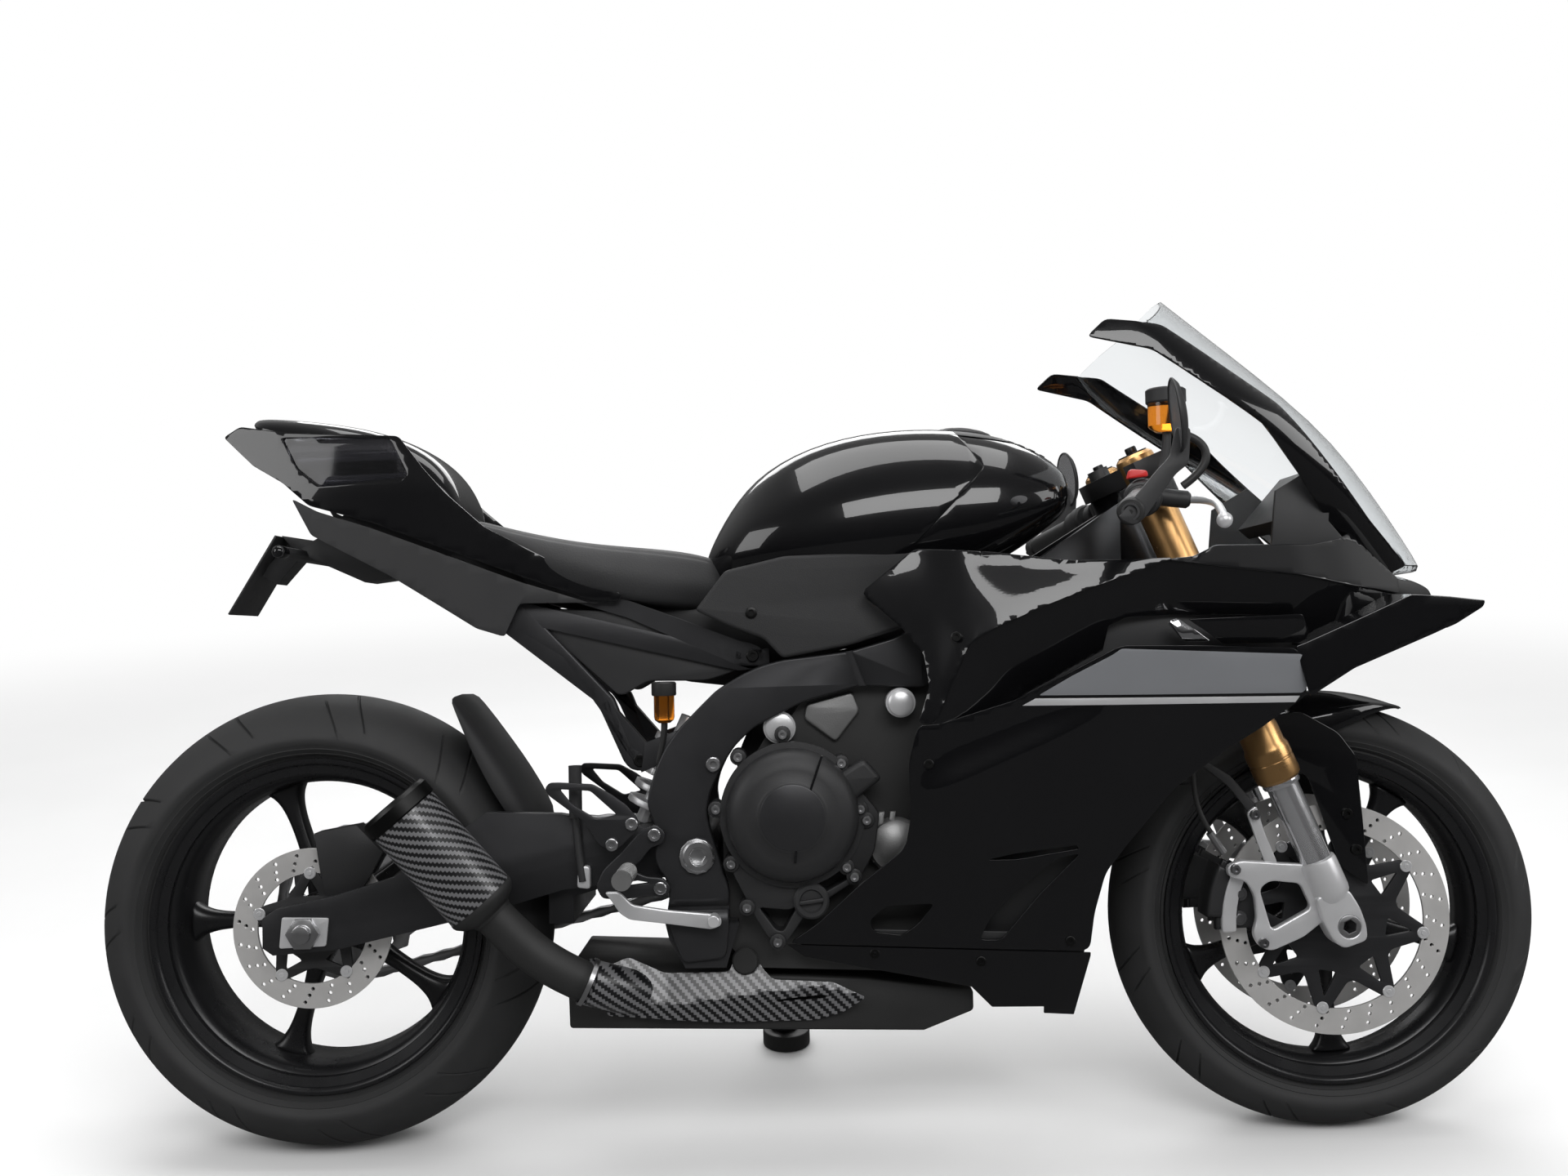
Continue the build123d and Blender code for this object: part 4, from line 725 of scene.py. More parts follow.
SPOKE_WIDTHS = (
    # share of the well's radius, half-width, share of the depth
    (0.12, 27, 1.0), (0.22, 21, 1.0), (0.34, 15, 0.95), (0.50, 11.5, 0.85), (0.66, 11, 0.8),
    (0.80, 13, 0.8), (0.90, 18, 0.9), (0.96, 26, 1.0), (1.0, 36, 1.1),
)


def wheel_view(centre):
    """A wheel's own view: forward, up and to the right of its centre."""
    return side_view(0) @ Matrix.Translation((*centre, 0))


def tread_columns(periods):
    """Turns about the axle with the groove that each is the floor of, if any."""
    columns = []
    for period in range(periods):
        for start, hand, low, high in GROOVES:
            columns.append((period + start, None))
            columns.append((period + start + GROOVE_WALL, (hand, low, high)))
            columns.append((period + start + GROOVE_SHARE - GROOVE_WALL, (hand, low, high)))
            columns.append((period + start + GROOVE_SHARE, None))
            columns += [(period + start + GROOVE_SHARE + share, None)
                        for share in (0.06, 0.12, 0.18)]
    return [(turn / periods * 2 * pi, groove) for turn, groove in columns]


def tyre_profile(radius, crown, lip):
    """Half the tyre's section from the middle of the tread to the bead: (side, radius, share)."""
    rows = []
    for row in range(TREAD_ROWS + 1):
        share = row / TREAD_ROWS
        turn = radians(TREAD_ARC) * share
        rows.append((crown * sin(turn), radius - crown + crown * cos(turn), share))
    wide, shoulder, _ = rows[-1]
    bead = lip - 5
    wall = shoulder - RIM_RADIUS
    for share, side in WALL_RIBS:
        rows.append((wide + side + (bead - wide) * share ** 2.2, shoulder - wall * share, 2))
    rows.append((bead, RIM_RADIUS + 1, 2))
    rows.append((bead - 5, RIM_RADIUS - 9, 2))
    return rows


def tyre(name, centre, radius, crown, lip, periods):
    """A road tyre: a crowned tread with swept grooves, ribbed walls and a bead."""
    half = tyre_profile(radius, crown, lip)
    rows = [(-y, r, share, -1) for y, r, share in reversed(half[1:])]
    rows += [(y, r, share, 1) for y, r, share in half]
    columns = tread_columns(periods)
    sections = []
    for turn, groove in columns:
        section = []
        for y, r, share, hand in rows:
            swept = turn - SWEEP * min(share, 1) ** 1.5
            if groove and groove[0] == hand and groove[1] <= share <= groove[2]:
                r -= GROOVE_DEPTH
            section.append((r * cos(swept), r * sin(swept), -y))
        sections.append(section)
    sections.append(sections[0])
    return skin(name, sections, wheel_view(centre), caps=False)


def rim(name, centre, lip, hub_half, hub_radius, depth, start):
    """A cast wheel: a stepped barrel, a hub with a bore, and five waisted spokes."""
    well, bore = WELL_RADIUS, WHEEL_BORE
    edge = [
        (RIM_RADIUS, lip), (RIM_RADIUS + 0.6, lip - 2), (RIM_RADIUS + 0.6, lip - 5),
        (218, lip - 9), (212, lip - 14), (well + 7, lip - 34), (well + 7, 0),
    ]
    inner = [
        (well, 0), (well, lip - 46), (well + 3, lip - 40), (well + 3, lip - 30),
        (207, lip - 20), (211, lip - 18), (211, lip - 10), (223, lip - 6), (226, lip - 1),
        (RIM_RADIUS - 3, lip + 0.4),
    ]
    outline = edge + [(r, -y) for r, y in reversed(edge[:-1])]
    outline += [(r, -y) for r, y in reversed(inner)] + inner[1:]
    barrel = lathe(name, outline, wheel_view(centre), 120)
    hub = lathe(
        name + "_hub",
        [(bore, hub_half - 4), (bore + 4, hub_half), (hub_radius - 3, hub_half),
         (hub_radius, hub_half - 3), (hub_radius, depth + 12), (hub_radius - 7, depth + 4),
         (hub_radius - 7, -depth - 4), (hub_radius, -depth - 12), (hub_radius, 3 - hub_half),
         (hub_radius - 3, -hub_half), (bore + 4, -hub_half), (bore, 4 - hub_half)],
        wheel_view(centre), 64,
    )
    pieces = [barrel, hub]
    for spoke in range(SPOKES):
        turn = Matrix.Rotation(radians(start + 360 / SPOKES * spoke), 4, "Z")
        sections = []
        for share, width, deep in SPOKE_WIDTHS:
            r, d, e = share * (well + 3), depth * deep, 0.55
            corners = ((-width, -d * e), (-width * e, -d), (width * e, -d), (width, -d * e),
                       (width, d * e), (width * e, d), (-width * e, d), (-width, d * e))
            sections.append([turn @ Vector((r, y, z)) for y, z in corners])
        arm = skin(name + "_spoke", sections, wheel_view(centre))
        subdivide(arm, 2)
        pieces.append(arm)
    return join(pieces, name)


class SPORTBIKE_OT_wheels(bpy.types.Operator):
    """Model the tyres and the cast rims"""

    bl_idname = "sportbike.wheels"
    bl_label = "Wheels"

    def execute(self, context):
        for name, body, centre, radius, crown, lip, hub_half, hub, depth, start, grooves in WHEELS:
            cover = tyre(name + "_tyre_tread", centre, radius, crown, lip, grooves)
            finish(cover, body, "tyre", [name + "_tyre"], 40)
            wheel = rim(name + "_wheel", centre, lip, hub_half, hub, depth, start)
            finish(wheel, body, "wheel", [name + "_rim"], 40)
        return {"FINISHED"}


# --- brake discs --------------------------------------------------------------------------------
DISC = 5                        # the ring's thickness
DISCS = (
    # name, node, body, centre, sides, outer and inner radius of the ring, rows of holes,
    # holes in a row, carrier arms, first arm, finish of the carrier
    ("front", "front_discs", "front_wheel", FRONT_CENTRE, (-65, 65), 160, 124,
     (129, 139, 150), 26, 8, 35, "chassis"),
    ("rear", "rear_disc", "rear_wheel", REAR_CENTRE, (-88,), 110, 76,
     (83, 92, 102), 20, 5, 20, "engine"),
)
HOLE = 2.7                      # radius of the holes in the ring
HUB_BORE = 18


def drilled_ring(name, centre, y, outer, inner, rows, count):
    """The steel ring with rows of holes that swirl outwards."""
    outlines = [circle(0, 0, outer, 120), circle(0, 0, inner, 96)]
    for row, radius in enumerate(rows):
        for k in range(count):
            turn = 2 * pi * (k + 0.33 * row + 0.5 * (row % 2)) / count
            outlines.append(circle(radius * cos(turn), radius * sin(turn), HOLE, 10))
    place = side_view(y) @ Matrix.Translation((*centre, 0))
    return slab(name, outlines, place, DISC, 0.3, 1)


def disc_carrier(name, centre, y, reach, arms, start):
    """The carrier between the hub and the ring: forked arms that end at the bobbins."""
    outline, holes = [], []
    for arm in range(arms):
        middle = radians(start) + 2 * pi * arm / arms
        for share, half in ((0.7, -0.86 * pi / arms), (1.0, -9 / reach), (1.0, 9 / reach),
                            (0.7, 0.86 * pi / arms)):
            outline.append((reach * share * cos(middle + half), reach * share * sin(middle + half)))
        hole = [(reach * share * cos(middle + half), reach * share * sin(middle + half))
                for share, half in ((0.58, -0.45 * pi / arms), (0.86, 0), (0.58, 0.45 * pi / arms))]
        holes.append(rounded(hole, 4, 3))
    place = side_view(y) @ Matrix.Translation((*centre, 0))
    outlines = [rounded(outline, 6, 3), circle(0, 0, HUB_BORE, 40), *holes]
    return slab(name, outlines, place, DISC + 1, 0.8)


def bobbins(name, centre, y, radius, count, start):
    """The buttons that hold the ring on the carrier."""
    place = side_view(y) @ Matrix.Translation((*centre, 0))
    button = lathe(name, [(0, 5.5), (3, 5.5), (3.6, 4.4), (7.6, 4.4), (8.4, 3.6), (8.4, -3.6),
                          (7.6, -4.4), (3.6, -4.4), (3, -5.5), (0, -5.5)], Matrix(), 20)
    turns = [radians(start) + 2 * pi * k / count for k in range(count)]
    places = [place @ Matrix.Translation((radius * cos(t), radius * sin(t), 0)) for t in turns]
    return join(repeat(button, places), name)


class SPORTBIKE_OT_discs(bpy.types.Operator):
    """Model the drilled brake discs on their carriers"""

    bl_idname = "sportbike.discs"
    bl_label = "Brake discs"

    def execute(self, context):
        for (name, node_name, body, centre, sides, outer, inner, rows, count, arms, start,
             carrier_finish) in DISCS:
            rings = [drilled_ring(name, centre, y, outer, inner, rows, count) for y in sides]
            ring = join(rings, name + "_disc_rings")
            reach = inner + 3
            carriers = [disc_carrier(name, centre, y, reach, arms, start) for y in sides]
            carrier = join(carriers, name + "_disc_carriers")
            buttons = [bobbins(name, centre, y, inner, arms, start) for y in sides]
            button = join(buttons, name + "_disc_bobbins")
            axle = BIKE @ Vector((centre[0], 0, centre[1]))
            steel = turned_disc(name + "_disc_steel", (0.62, 0.61, 0.6), axle)
            finish(ring, body, steel, [node_name])
            finish(carrier, body, carrier_finish)
            finish(button, body, "silver")
        return {"FINISHED"}


# --- bodywork -----------------------------------------------------------------------------------
LEVELS = (190, 300, 460, 600, 700, 770, 830)
STATIONS = (640, 830, 1040, 1230, 1370, 1450, 1530, 1592)
HALF_WIDTHS = (
    # the fairing's half-width at each level, one row for each station
    (118, 150, 190, 205, 206, 196, 166),
    (125, 165, 202, 216, 222, 212, 176),
    (135, 178, 210, 230, 243, 235, 195),
    (145, 182, 208, 226, 240, 228, 190),
    (140, 175, 198, 212, 224, 212, 172),
    (134, 166, 182, 190, 192, 178, 140),
    (120, 140, 140, 134, 130, 116, 84),
    (90, 90, 80, 64, 52, 44, 30),
)


def smooth_value(keys, values, at):
    """A smooth curve through values at rising keys."""
    at = min(max(at, keys[0]), keys[-1])
    k = max(i for i in range(len(keys) - 1) if keys[i] <= at)
    slopes = []
    for i in (k, k + 1):
        low, high = max(i - 1, 0), min(i + 1, len(keys) - 1)
        slopes.append((values[high] - values[low]) / (keys[high] - keys[low]))
    span = keys[k + 1] - keys[k]
    t = (at - keys[k]) / span
    return (
        (2 * t ** 3 - 3 * t ** 2 + 1) * values[k] + (t ** 3 - 2 * t ** 2 + t) * span * slopes[0]
        + (3 * t ** 2 - 2 * t ** 3) * values[k + 1] + (t ** 3 - t ** 2) * span * slopes[1]
    )


def fairing_half(x, z):
    """The fairing's half-width at a place in the side view."""
    return smooth_value(STATIONS, [smooth_value(LEVELS, row, z) for row in HALF_WIDTHS], x)


def panel(name, outlines, reach, wall, hand, step=14, rim=0.7, soften=0):
    """A moulded panel: outlines in the side view, laid on a surface and given a wall and a rim."""
    piece = settle(link(name, flat_curve(name, outlines)))
    xs = [x for x, _ in outlines[0]]
    zs = [z for _, z in outlines[0]]
    begin_edit(piece)
    bpy.ops.mesh.remove_doubles(threshold=0.3)
    bpy.ops.mesh.dissolve_limited(angle_limit=0.01)
    for low, high, normal in ((min(xs), max(xs), (1, 0, 0)), (min(zs), max(zs), (0, 1, 0))):
        for k in range(1, int((high - low) / step) + 1):
            at = low + k * step
            bpy.ops.mesh.select_all(action="SELECT")
            bpy.ops.mesh.bisect(plane_co=Vector(normal) * at, plane_no=normal)
    bpy.ops.mesh.select_all(action="SELECT")
    bpy.ops.mesh.remove_doubles(threshold=0.6)
    bpy.ops.mesh.dissolve_degenerate(threshold=0.1)
    end_edit()
    for vertex in piece.data.vertices:
        x, z = vertex.co.x, vertex.co.y
        vertex.co = (x, hand * reach(x, z), z)
    lean = sum(face.normal.y * face.area for face in piece.data.polygons)
    if lean * hand < 0:
        begin_edit(piece)
        bpy.ops.mesh.flip_normals()
        end_edit()
    if soften:
        soft = piece.modifiers.new("soften", "SMOOTH")
        soft.factor = 0.5
        soft.iterations = soften
        soft.use_x = soft.use_z = False
    shell = piece.modifiers.new("wall", "SOLIDIFY")
    shell.thickness = wall
    shell.offset = -1
    apply_modifiers(piece)
    round_edges(piece, rim, 2, 60)
    piece.data.transform(BIKE)
    return piece


def both_sides(name, outlines, reach, wall, **more):
    """The same panel on the right and on the left, as one piece."""
    pair = [panel(name, outlines, reach, wall, hand, **more) for hand in (-1, 1)]
    return join(pair, name)


LOWER_SIDE = [
    (833, 590), (858, 590), (961, 621), (1093, 688), (1200, 686), (1325, 680), (1340, 620),
    (1276, 577), (1231, 550), (1165, 503), (1103, 429), (1075, 392), (1061, 338), (1056, 286),
    (658, 298), (696, 324), (755, 380), (814, 428), (822, 470), (820, 540),
]
CUT_OUTS = (
    [(766, 330), (789, 350), (852, 353), (832, 326), (810, 309), (772, 314)],
    [(1042, 418), (989, 364), (940, 302), (911, 302), (926, 334), (962, 370), (1010, 412)],
    [(920, 411), (955, 419), (1037, 429), (1040, 424), (958, 411)],
)
CREASE = (
    # the fold between the lit upper face and the hollow below it, from the rear to the nose
    (855, 593), (873, 634), (901, 696), (935, 715), (1012, 747), (1077, 770), (1162, 797),
    (1331, 776), (1406, 761), (1476, 748), (1560, 736),
)
UPPER_FACE = [
    (833, 591), (849, 640), (843, 684), (817, 716), (765, 766), (837, 822), (890, 819),
    (941, 814), (1034, 800), (1100, 799), (1162, 800), *CREASE[6::-1],
]
HOLLOW_FACE = [
    *CREASE[:10], (1462, 742), (1333, 684), (1336, 722), (1173, 727), (1107, 724), (1085, 714),
    (1080, 682), (961, 616), (866, 590),
]
HOLLOW_FLOOR = [
    (850, 575), (905, 690), (1085, 740), (1345, 735), (1345, 655), (1093, 660), (961, 600),
]
INNER_BLADE = [(1184, 720), (1336, 724), (1345, 702), (1342, 687), (1232, 687)]
BEACON = [(1160, 719), (1172, 722), (1214, 691), (1178, 692)]
LINER = [[(880, 292), (1052, 292), (1062, 350), (1080, 440), (1040, 446), (880, 440)]]
SEAM_BACK = [(672, 292), (902, 262), (1050, 262), (1050, 310), (690, 318)]
STRIPE = [(1030, 650), (1082, 676), (1094, 684), (1330, 672), (1338, 630), (1332, 622), (988, 626)]
STRIPE_LINE = [(967, 613), (984, 622), (1328, 618), (1322, 610)]
FAIRING_BOLTS = (
    # forward, up, how far off the lower panel's surface
    (884, 704, 1), (846, 539, 0), (773, 284, -1), (914, 272, -1), (1030, 300, 0),
)
BODY_WALL = 3.5
# How far these lie inside the lower panel's outer face.
FLOOR_INSET = 46
LINER_INSET = 24
SEAM_INSET = 4.5
BLADE_INSET = 14
LAMP_INSET = 12
# How far these stand out of it.
STRIPE_LIFT = 1.6
LINE_LIFT = 1.8


def line_height(line, x):
    """The height of a line of (x, z) points at x."""
    x = min(max(x, line[0][0]), line[-1][0])
    k = max(i for i in range(len(line) - 1) if line[i][0] <= x)
    (x0, z0), (x1, z1) = line[k], line[k + 1]
    return z0 + (z1 - z0) * (x - x0) / (x1 - x0)


def fold_distance(x, z):
    """How far a place lies from the crease: positive on its upper, rear side."""
    best, sign = 1e9, 1
    for (x0, z0), (x1, z1) in zip(CREASE, CREASE[1:]):
        dx, dz = x1 - x0, z1 - z0
        t = min(max(((x - x0) * dx + (z - z0) * dz) / (dx * dx + dz * dz), 0), 1)
        reach = hypot(x - x0 - t * dx, z - z0 - t * dz)
        if reach < best:
            best, sign = reach, 1 if dx * (z - z0) - dz * (x - x0) > 0 else -1
    return best * sign


def upper_reach(x, z):
    """The lit face: it leans in from the fold, more so towards the rear's tip."""
    off = max(fold_distance(x, z), 0)
    lean = smooth_value((760, 860, 960, 1100), (0.26, 0.34, 0.39, 0.42), x)
    return crease_half(x) - lean * off


def crease_half(x):
    """The fold's half-width."""
    return smooth_value(
        (760, 850, 900, 1040, 1230, 1331, 1366, 1420, 1480, 1535, 1575, 1592),
        (214, 222, 232, 244, 238, 228, 219, 202, 166, 116, 62, 32), x)


def lower_reach(x, z):
    """The lower panel: the fairing's width with a soft fold that rises towards the front."""
    off = (z - 520) * 0.92 - (x - 900) * 0.4
    fade = min(max((1110 - x) / 120, 0), 1) * min(max((x - 822) / 60, 0), 1)
    return fairing_half(x, z) + 7 * fade * exp(-((off / 20) ** 2))


def hollow_reach(x, z):
    """The face that turns in below the fold and runs behind the lower panel."""
    off = max(-fold_distance(x, z), 0)
    return crease_half(x) - 3.5 - 0.42 * off - 0.0012 * off * off


class SPORTBIKE_OT_fairing(bpy.types.Operator):
    """Model the fairing's side panels, the hollow between them and the plain stripe"""

    bl_idname = "sportbike.fairing"
    bl_label = "Fairing"

    def execute(self, context):
        holes = [rounded(hole, 7, 3) for hole in CUT_OUTS]
        lower = both_sides("fairing_lower", [rounded(LOWER_SIDE, 12, 4), *holes], lower_reach,
                           BODY_WALL, step=9)
        finish(lower, "chassis", "gloss", ["fairing_sides"], 50)
        upper = both_sides("fairing_upper", [rounded(UPPER_FACE, 8, 3)], upper_reach, BODY_WALL,
                           step=7, soften=10)
        finish(upper, "chassis", "gloss", (), 50)
        hollow = both_sides("fairing_hollow", [HOLLOW_FACE], hollow_reach, 2.5, step=8, soften=4)
        finish(hollow, "chassis", "gloss", (), 50)
        floor = both_sides("hollow_floor", [HOLLOW_FLOOR],
                           lambda x, z: fairing_half(x, z) - FLOOR_INSET, 2)
        finish(floor, "chassis", "moulded", (), 50)
        blade = both_sides("inner_blade", [rounded(INNER_BLADE, 4, 3)],
                           lambda x, z: fairing_half(x, z) - BLADE_INSET + 0.25 * (z - 705), 3)
        finish(blade, "chassis", "gloss", (), 50)
        liner = both_sides("fairing_liner", LINER,
                           lambda x, z: fairing_half(x, z) - LINER_INSET, 2)
        seam = both_sides("belly_seam", [SEAM_BACK],
                          lambda x, z: fairing_half(x, z) - SEAM_INSET, 3)
        finish(join([liner, seam], "fairing_liner"), "chassis", "moulded", (), 50)
        beacon = both_sides("side_lamp", [rounded(BEACON, 4, 3)],
                            lambda x, z: fairing_half(x, z) - LAMP_INSET - 0.2 * abs(z - 706), 8)
        finish(beacon, "chassis", "lamp", (), 50)
        band = both_sides("side_stripe", [rounded(STRIPE, 3, 2)],
                          lambda x, z: lower_reach(x, z) + STRIPE_LIFT, 1, rim=0.1)
        finish(band, "chassis", "stripe", (), 50)
        line = both_sides("side_line", [STRIPE_LINE],
                          lambda x, z: lower_reach(x, z) + LINE_LIFT, 1, rim=0.1)
        finish(line, "chassis", "silver", (), 50)
        places = [(x, hand * (fairing_half(x, z) + lift), z) for x, z, lift in FAIRING_BOLTS
                  for hand in (-1, 1)]
        finish(studs("fairing_bolts", places, 6.5, 2.5, 0.45), "chassis",
               "black_bolt", (), 30)
        return {"FINISHED"}


# The nose: stations forward with half-widths and heights of its outline's corners.
NOSE = (
    # forward, bottom and its half-width, fold's height and half-width, top and its half-width
    (1366, 640, 190, 770, 219, 788, 204),
    (1420, 664, 166, 758, 202, 788, 178),
    (1480, 690, 130, 748, 166, 780, 138),
    (1535, 712, 86, 740, 116, 772, 92),
    (1575, 727, 44, 737, 62, 762, 46),
    (1592, 734, 22, 738, 32, 755, 22),
)
NOSE_SIDE = [
    (1162, 799), (1193, 802), (1227, 817), (1364, 817), (1413, 826), (1433, 836), (1500, 770),
    (1490, 750), *CREASE[8:5:-1],
]
# The winglet's outer face, then its shelf: places in the side view, with the nose's half-width.
WINGLET = [
    (1333, 686), (1400, 716), (1465, 746), (1500, 743), (1553, 736), (1550, 728), (1517, 707),
    (1393, 653), (1338, 617), (1322, 682),
]
SHELF = (
    ((1331, 684), 190), ((1400, 716), 178), ((1465, 745), 158), ((1510, 741), 132),
    ((1552, 735), 92),
)


def winglet_reach(x, z):
    """The winglet's outer face stands away from the nose towards its tip."""
    return smooth_value((1320, 1400, 1480, 1556), (229, 242, 254, 264), x)


def nose_reach(x, z):
    """The nose's upper side: it leans in above the fold."""
    return crease_half(x) - 0.8 * max(z - line_height(CREASE[6:], x), 0)


class SPORTBIKE_OT_nose(bpy.types.Operator):
    """Model the nose cowl, its upper sides and its winglets"""

    bl_idname = "sportbike.nose"
    bl_label = "Nose"

    def execute(self, context):
        sections = []
        for x, bottom, low, fold_z, fold, top, high in NOSE:
            half = [(low, bottom), ((low + fold) / 2 + 3, (bottom + fold_z) / 2), (fold, fold_z),
                    ((fold + high) / 2 + 2, (fold_z + top) / 2), (high, top)]
            ring = half + [(high * 0.5, top + 3), (0, top + 4), (-high * 0.5, top + 3)]
            ring += mirrored(half) + [(0, bottom - 2)]
            sections.append([(x, y, z) for y, z in ring])
        cowl = skin("nose_shell", sections)
        subdivide(cowl, 2)
        finish(cowl, "chassis", "gloss", ["nose_cowl"], 60)
        sides = both_sides("nose_sides", [rounded(NOSE_SIDE, 5, 3)], nose_reach, BODY_WALL, step=9)
        finish(sides, "chassis", "gloss", (), 50)
        wings = both_sides("winglets", [rounded(WINGLET, 3, 2)], winglet_reach, 4)
        finish(wings, "chassis", "gloss", (), 40)
        shelves = []
        for hand in (-1, 1):
            rows = []
            for (x, z), inner in SHELF:
                outer = winglet_reach(x, z) - 1
                rows.append([(x, hand * outer, z - 2), (x, hand * outer, z + 1),
                             (x, hand * inner, z + 4), (x, hand * inner, z)])
            shelf = skin("shelf", rows)
            tidy_normals(shelf)
            shelves.append(shelf)
        finish(join(shelves, "winglet_shelves"), "chassis", "gloss", (), 40)
        return {"FINISHED"}


# The screen: height, forward at the middle, forward and half-width at the edge.
SCREEN = (
    (1200, 1174, 1090, 156), (1172, 1207, 1102, 170), (1120, 1270, 1128, 196),
    (1060, 1344, 1176, 208), (990, 1423, 1266, 206), (930, 1476, 1334, 186),
    (860, 1528, 1408, 148), (800, 1570, 1468, 108), (779, 1584, 1490, 94),
)
SCREEN_EDGE = (
    (1100, 1115), (1134, 1112), (1166, 1142), (1196, 1164), (1215, 1168), (1700, 1168),
    (1700, 779), (1480, 779), (1424, 823), (1362, 900), (1300, 978), (1155, 1080), (1080, 1100),
)
SCREEN_TRIM = (
    (1070, 1098), (1155, 1078), (1300, 976), (1362, 898), (1424, 822), (1480, 770), (1530, 790),
    (1462, 852), (1392, 932), (1326, 1006), (1172, 1113), (1134, 1118), (1096, 1122),
)
SCREEN_WALL = 3.2
SCREEN_CUT = 260                # the cutter reaches this far out, past the screen's edges
BOW_POINTS = 17


def screen_section(z, front, back, half, inset):
    """The screen's bow at one height, from its right edge to its left."""
    points = []
    for k in range(BOW_POINTS):
        turn = radians(-90 + 180 * k / (BOW_POINTS - 1))
        points.append((back + (front - back - inset) * cos(turn), (half - inset) * sin(turn), z))
    return points


def screen_shell(name, wall):
    """The whole bow with a wall, before it is cut along its side edge."""
    sections = []
    for z, front, back, half in SCREEN:
        outside = screen_section(z, front, back, half, 0)
        inside = screen_section(z, front, back, half, wall)
        sections.append(outside + inside[::-1])
    shell = skin(name, sections)
    subdivide(shell, 1)
    return shell


def screen_half(x, z):
    """How far out the screen's outer face stands at a place in the side view."""
    rows = SCREEN[::-1]
    levels = [row[0] for row in rows]
    front, back, half = (smooth_value(levels, [row[k] for row in rows], z) for k in (1, 2, 3))
    share = min(max((x - back) / (front - back), 0), 0.97)
    return (half + 1.5) * sqrt(1 - share * share)


def cut_with(piece, cutter, operation):
    """Keep or remove what a cutter covers, and drop the cutter."""
    change = piece.modifiers.new("cut", "BOOLEAN")
    change.operation = operation
    change.object = cutter
    change.solver = "EXACT"
    apply_modifiers(piece)
    bpy.data.objects.remove(cutter)
    return piece


def side_block(outline, near, far, place=BIKE):
    """A plain block with an outline in the side view, to cut with."""
    return skin("block", [[(x, y, z) for x, z in outline] for y in (near, far)], place)


class SPORTBIKE_OT_windscreen(bpy.types.Operator):
    """Model the clear screen with a dark trim along each side edge"""

    bl_idname = "sportbike.windscreen"
    bl_label = "Windscreen"

    def execute(self, context):
        screen = screen_shell("screen", SCREEN_WALL)
        cut_with(screen, side_block(SCREEN_EDGE, -SCREEN_CUT, SCREEN_CUT), "INTERSECT")
        finish(screen, "chassis", "clear", ["windscreen"], 40)
        trim = both_sides("screen_trim", [rounded(SCREEN_TRIM, 8, 3)], screen_half, 3.5, step=8)
        finish(trim, "chassis", "gloss", (), 50)
        return {"FINISHED"}


# Tank stations: forward, bottom, height of the widest place, half-width, shoulder and top.
TANK = (
    (548, 794, 806, 56, 44, 822), (575, 776, 815, 96, 64, 876), (620, 762, 824, 130, 82, 940),
    (700, 756, 838, 155, 100, 984), (800, 756, 850, 166, 110, 1004),
    (900, 775, 856, 163, 110, 1004), (980, 815, 866, 150, 102, 992),
    (1040, 856, 884, 128, 90, 964), (1068, 878, 900, 106, 76, 938),
)
COVER_TOP = (
    (873, 1040), (905, 986), (990, 975), (1040, 955), (1090, 925), (1120, 960), (1120, 1040),
)
SLOT = ((978, 900), (988, 900), (984, 1020), (974, 1020))
SLOTS = 5                       # on each side of the cover's top
SLOT_PITCH = 15
TANK_CUT = 200                  # cutters reach this far out, past the tank's sides
TANK_SEAM = ((873, 1040), (938, 936), (926, 919), (842, 832), (842, 700), (400, 700), (400, 1040))


def tank_body(name, inset):
    """The whole tank with its cover, drawn in by an inset."""
    sections = []
    for x, bottom, wide_z, wide, shoulder, top in TANK:
        wide, shoulder, top = wide - inset, shoulder - inset, top - inset
        half = [(wide * 0.72, bottom), (wide * 0.93, (bottom + wide_z) / 2), (wide, wide_z),
                (wide * 0.97, wide_z + (top - wide_z) * 0.35),
                (shoulder * 1.14, wide_z + (top - wide_z) * 0.72), (shoulder * 0.9, top - 13),
                (shoulder * 0.55, top - 3)]
        ring = half + [(0, top)] + mirrored(half) + [(0, bottom)]
        sections.append([(x, y, z) for y, z in ring])
    body = skin(name, sections)
    subdivide(body, 2)
    return body


def tank_part(name, inset, outline, operation):
    """The part of the tank inside or outside an outline in the side view."""
    return cut_with(tank_body(name, inset), side_block(outline, -TANK_CUT, TANK_CUT), operation)


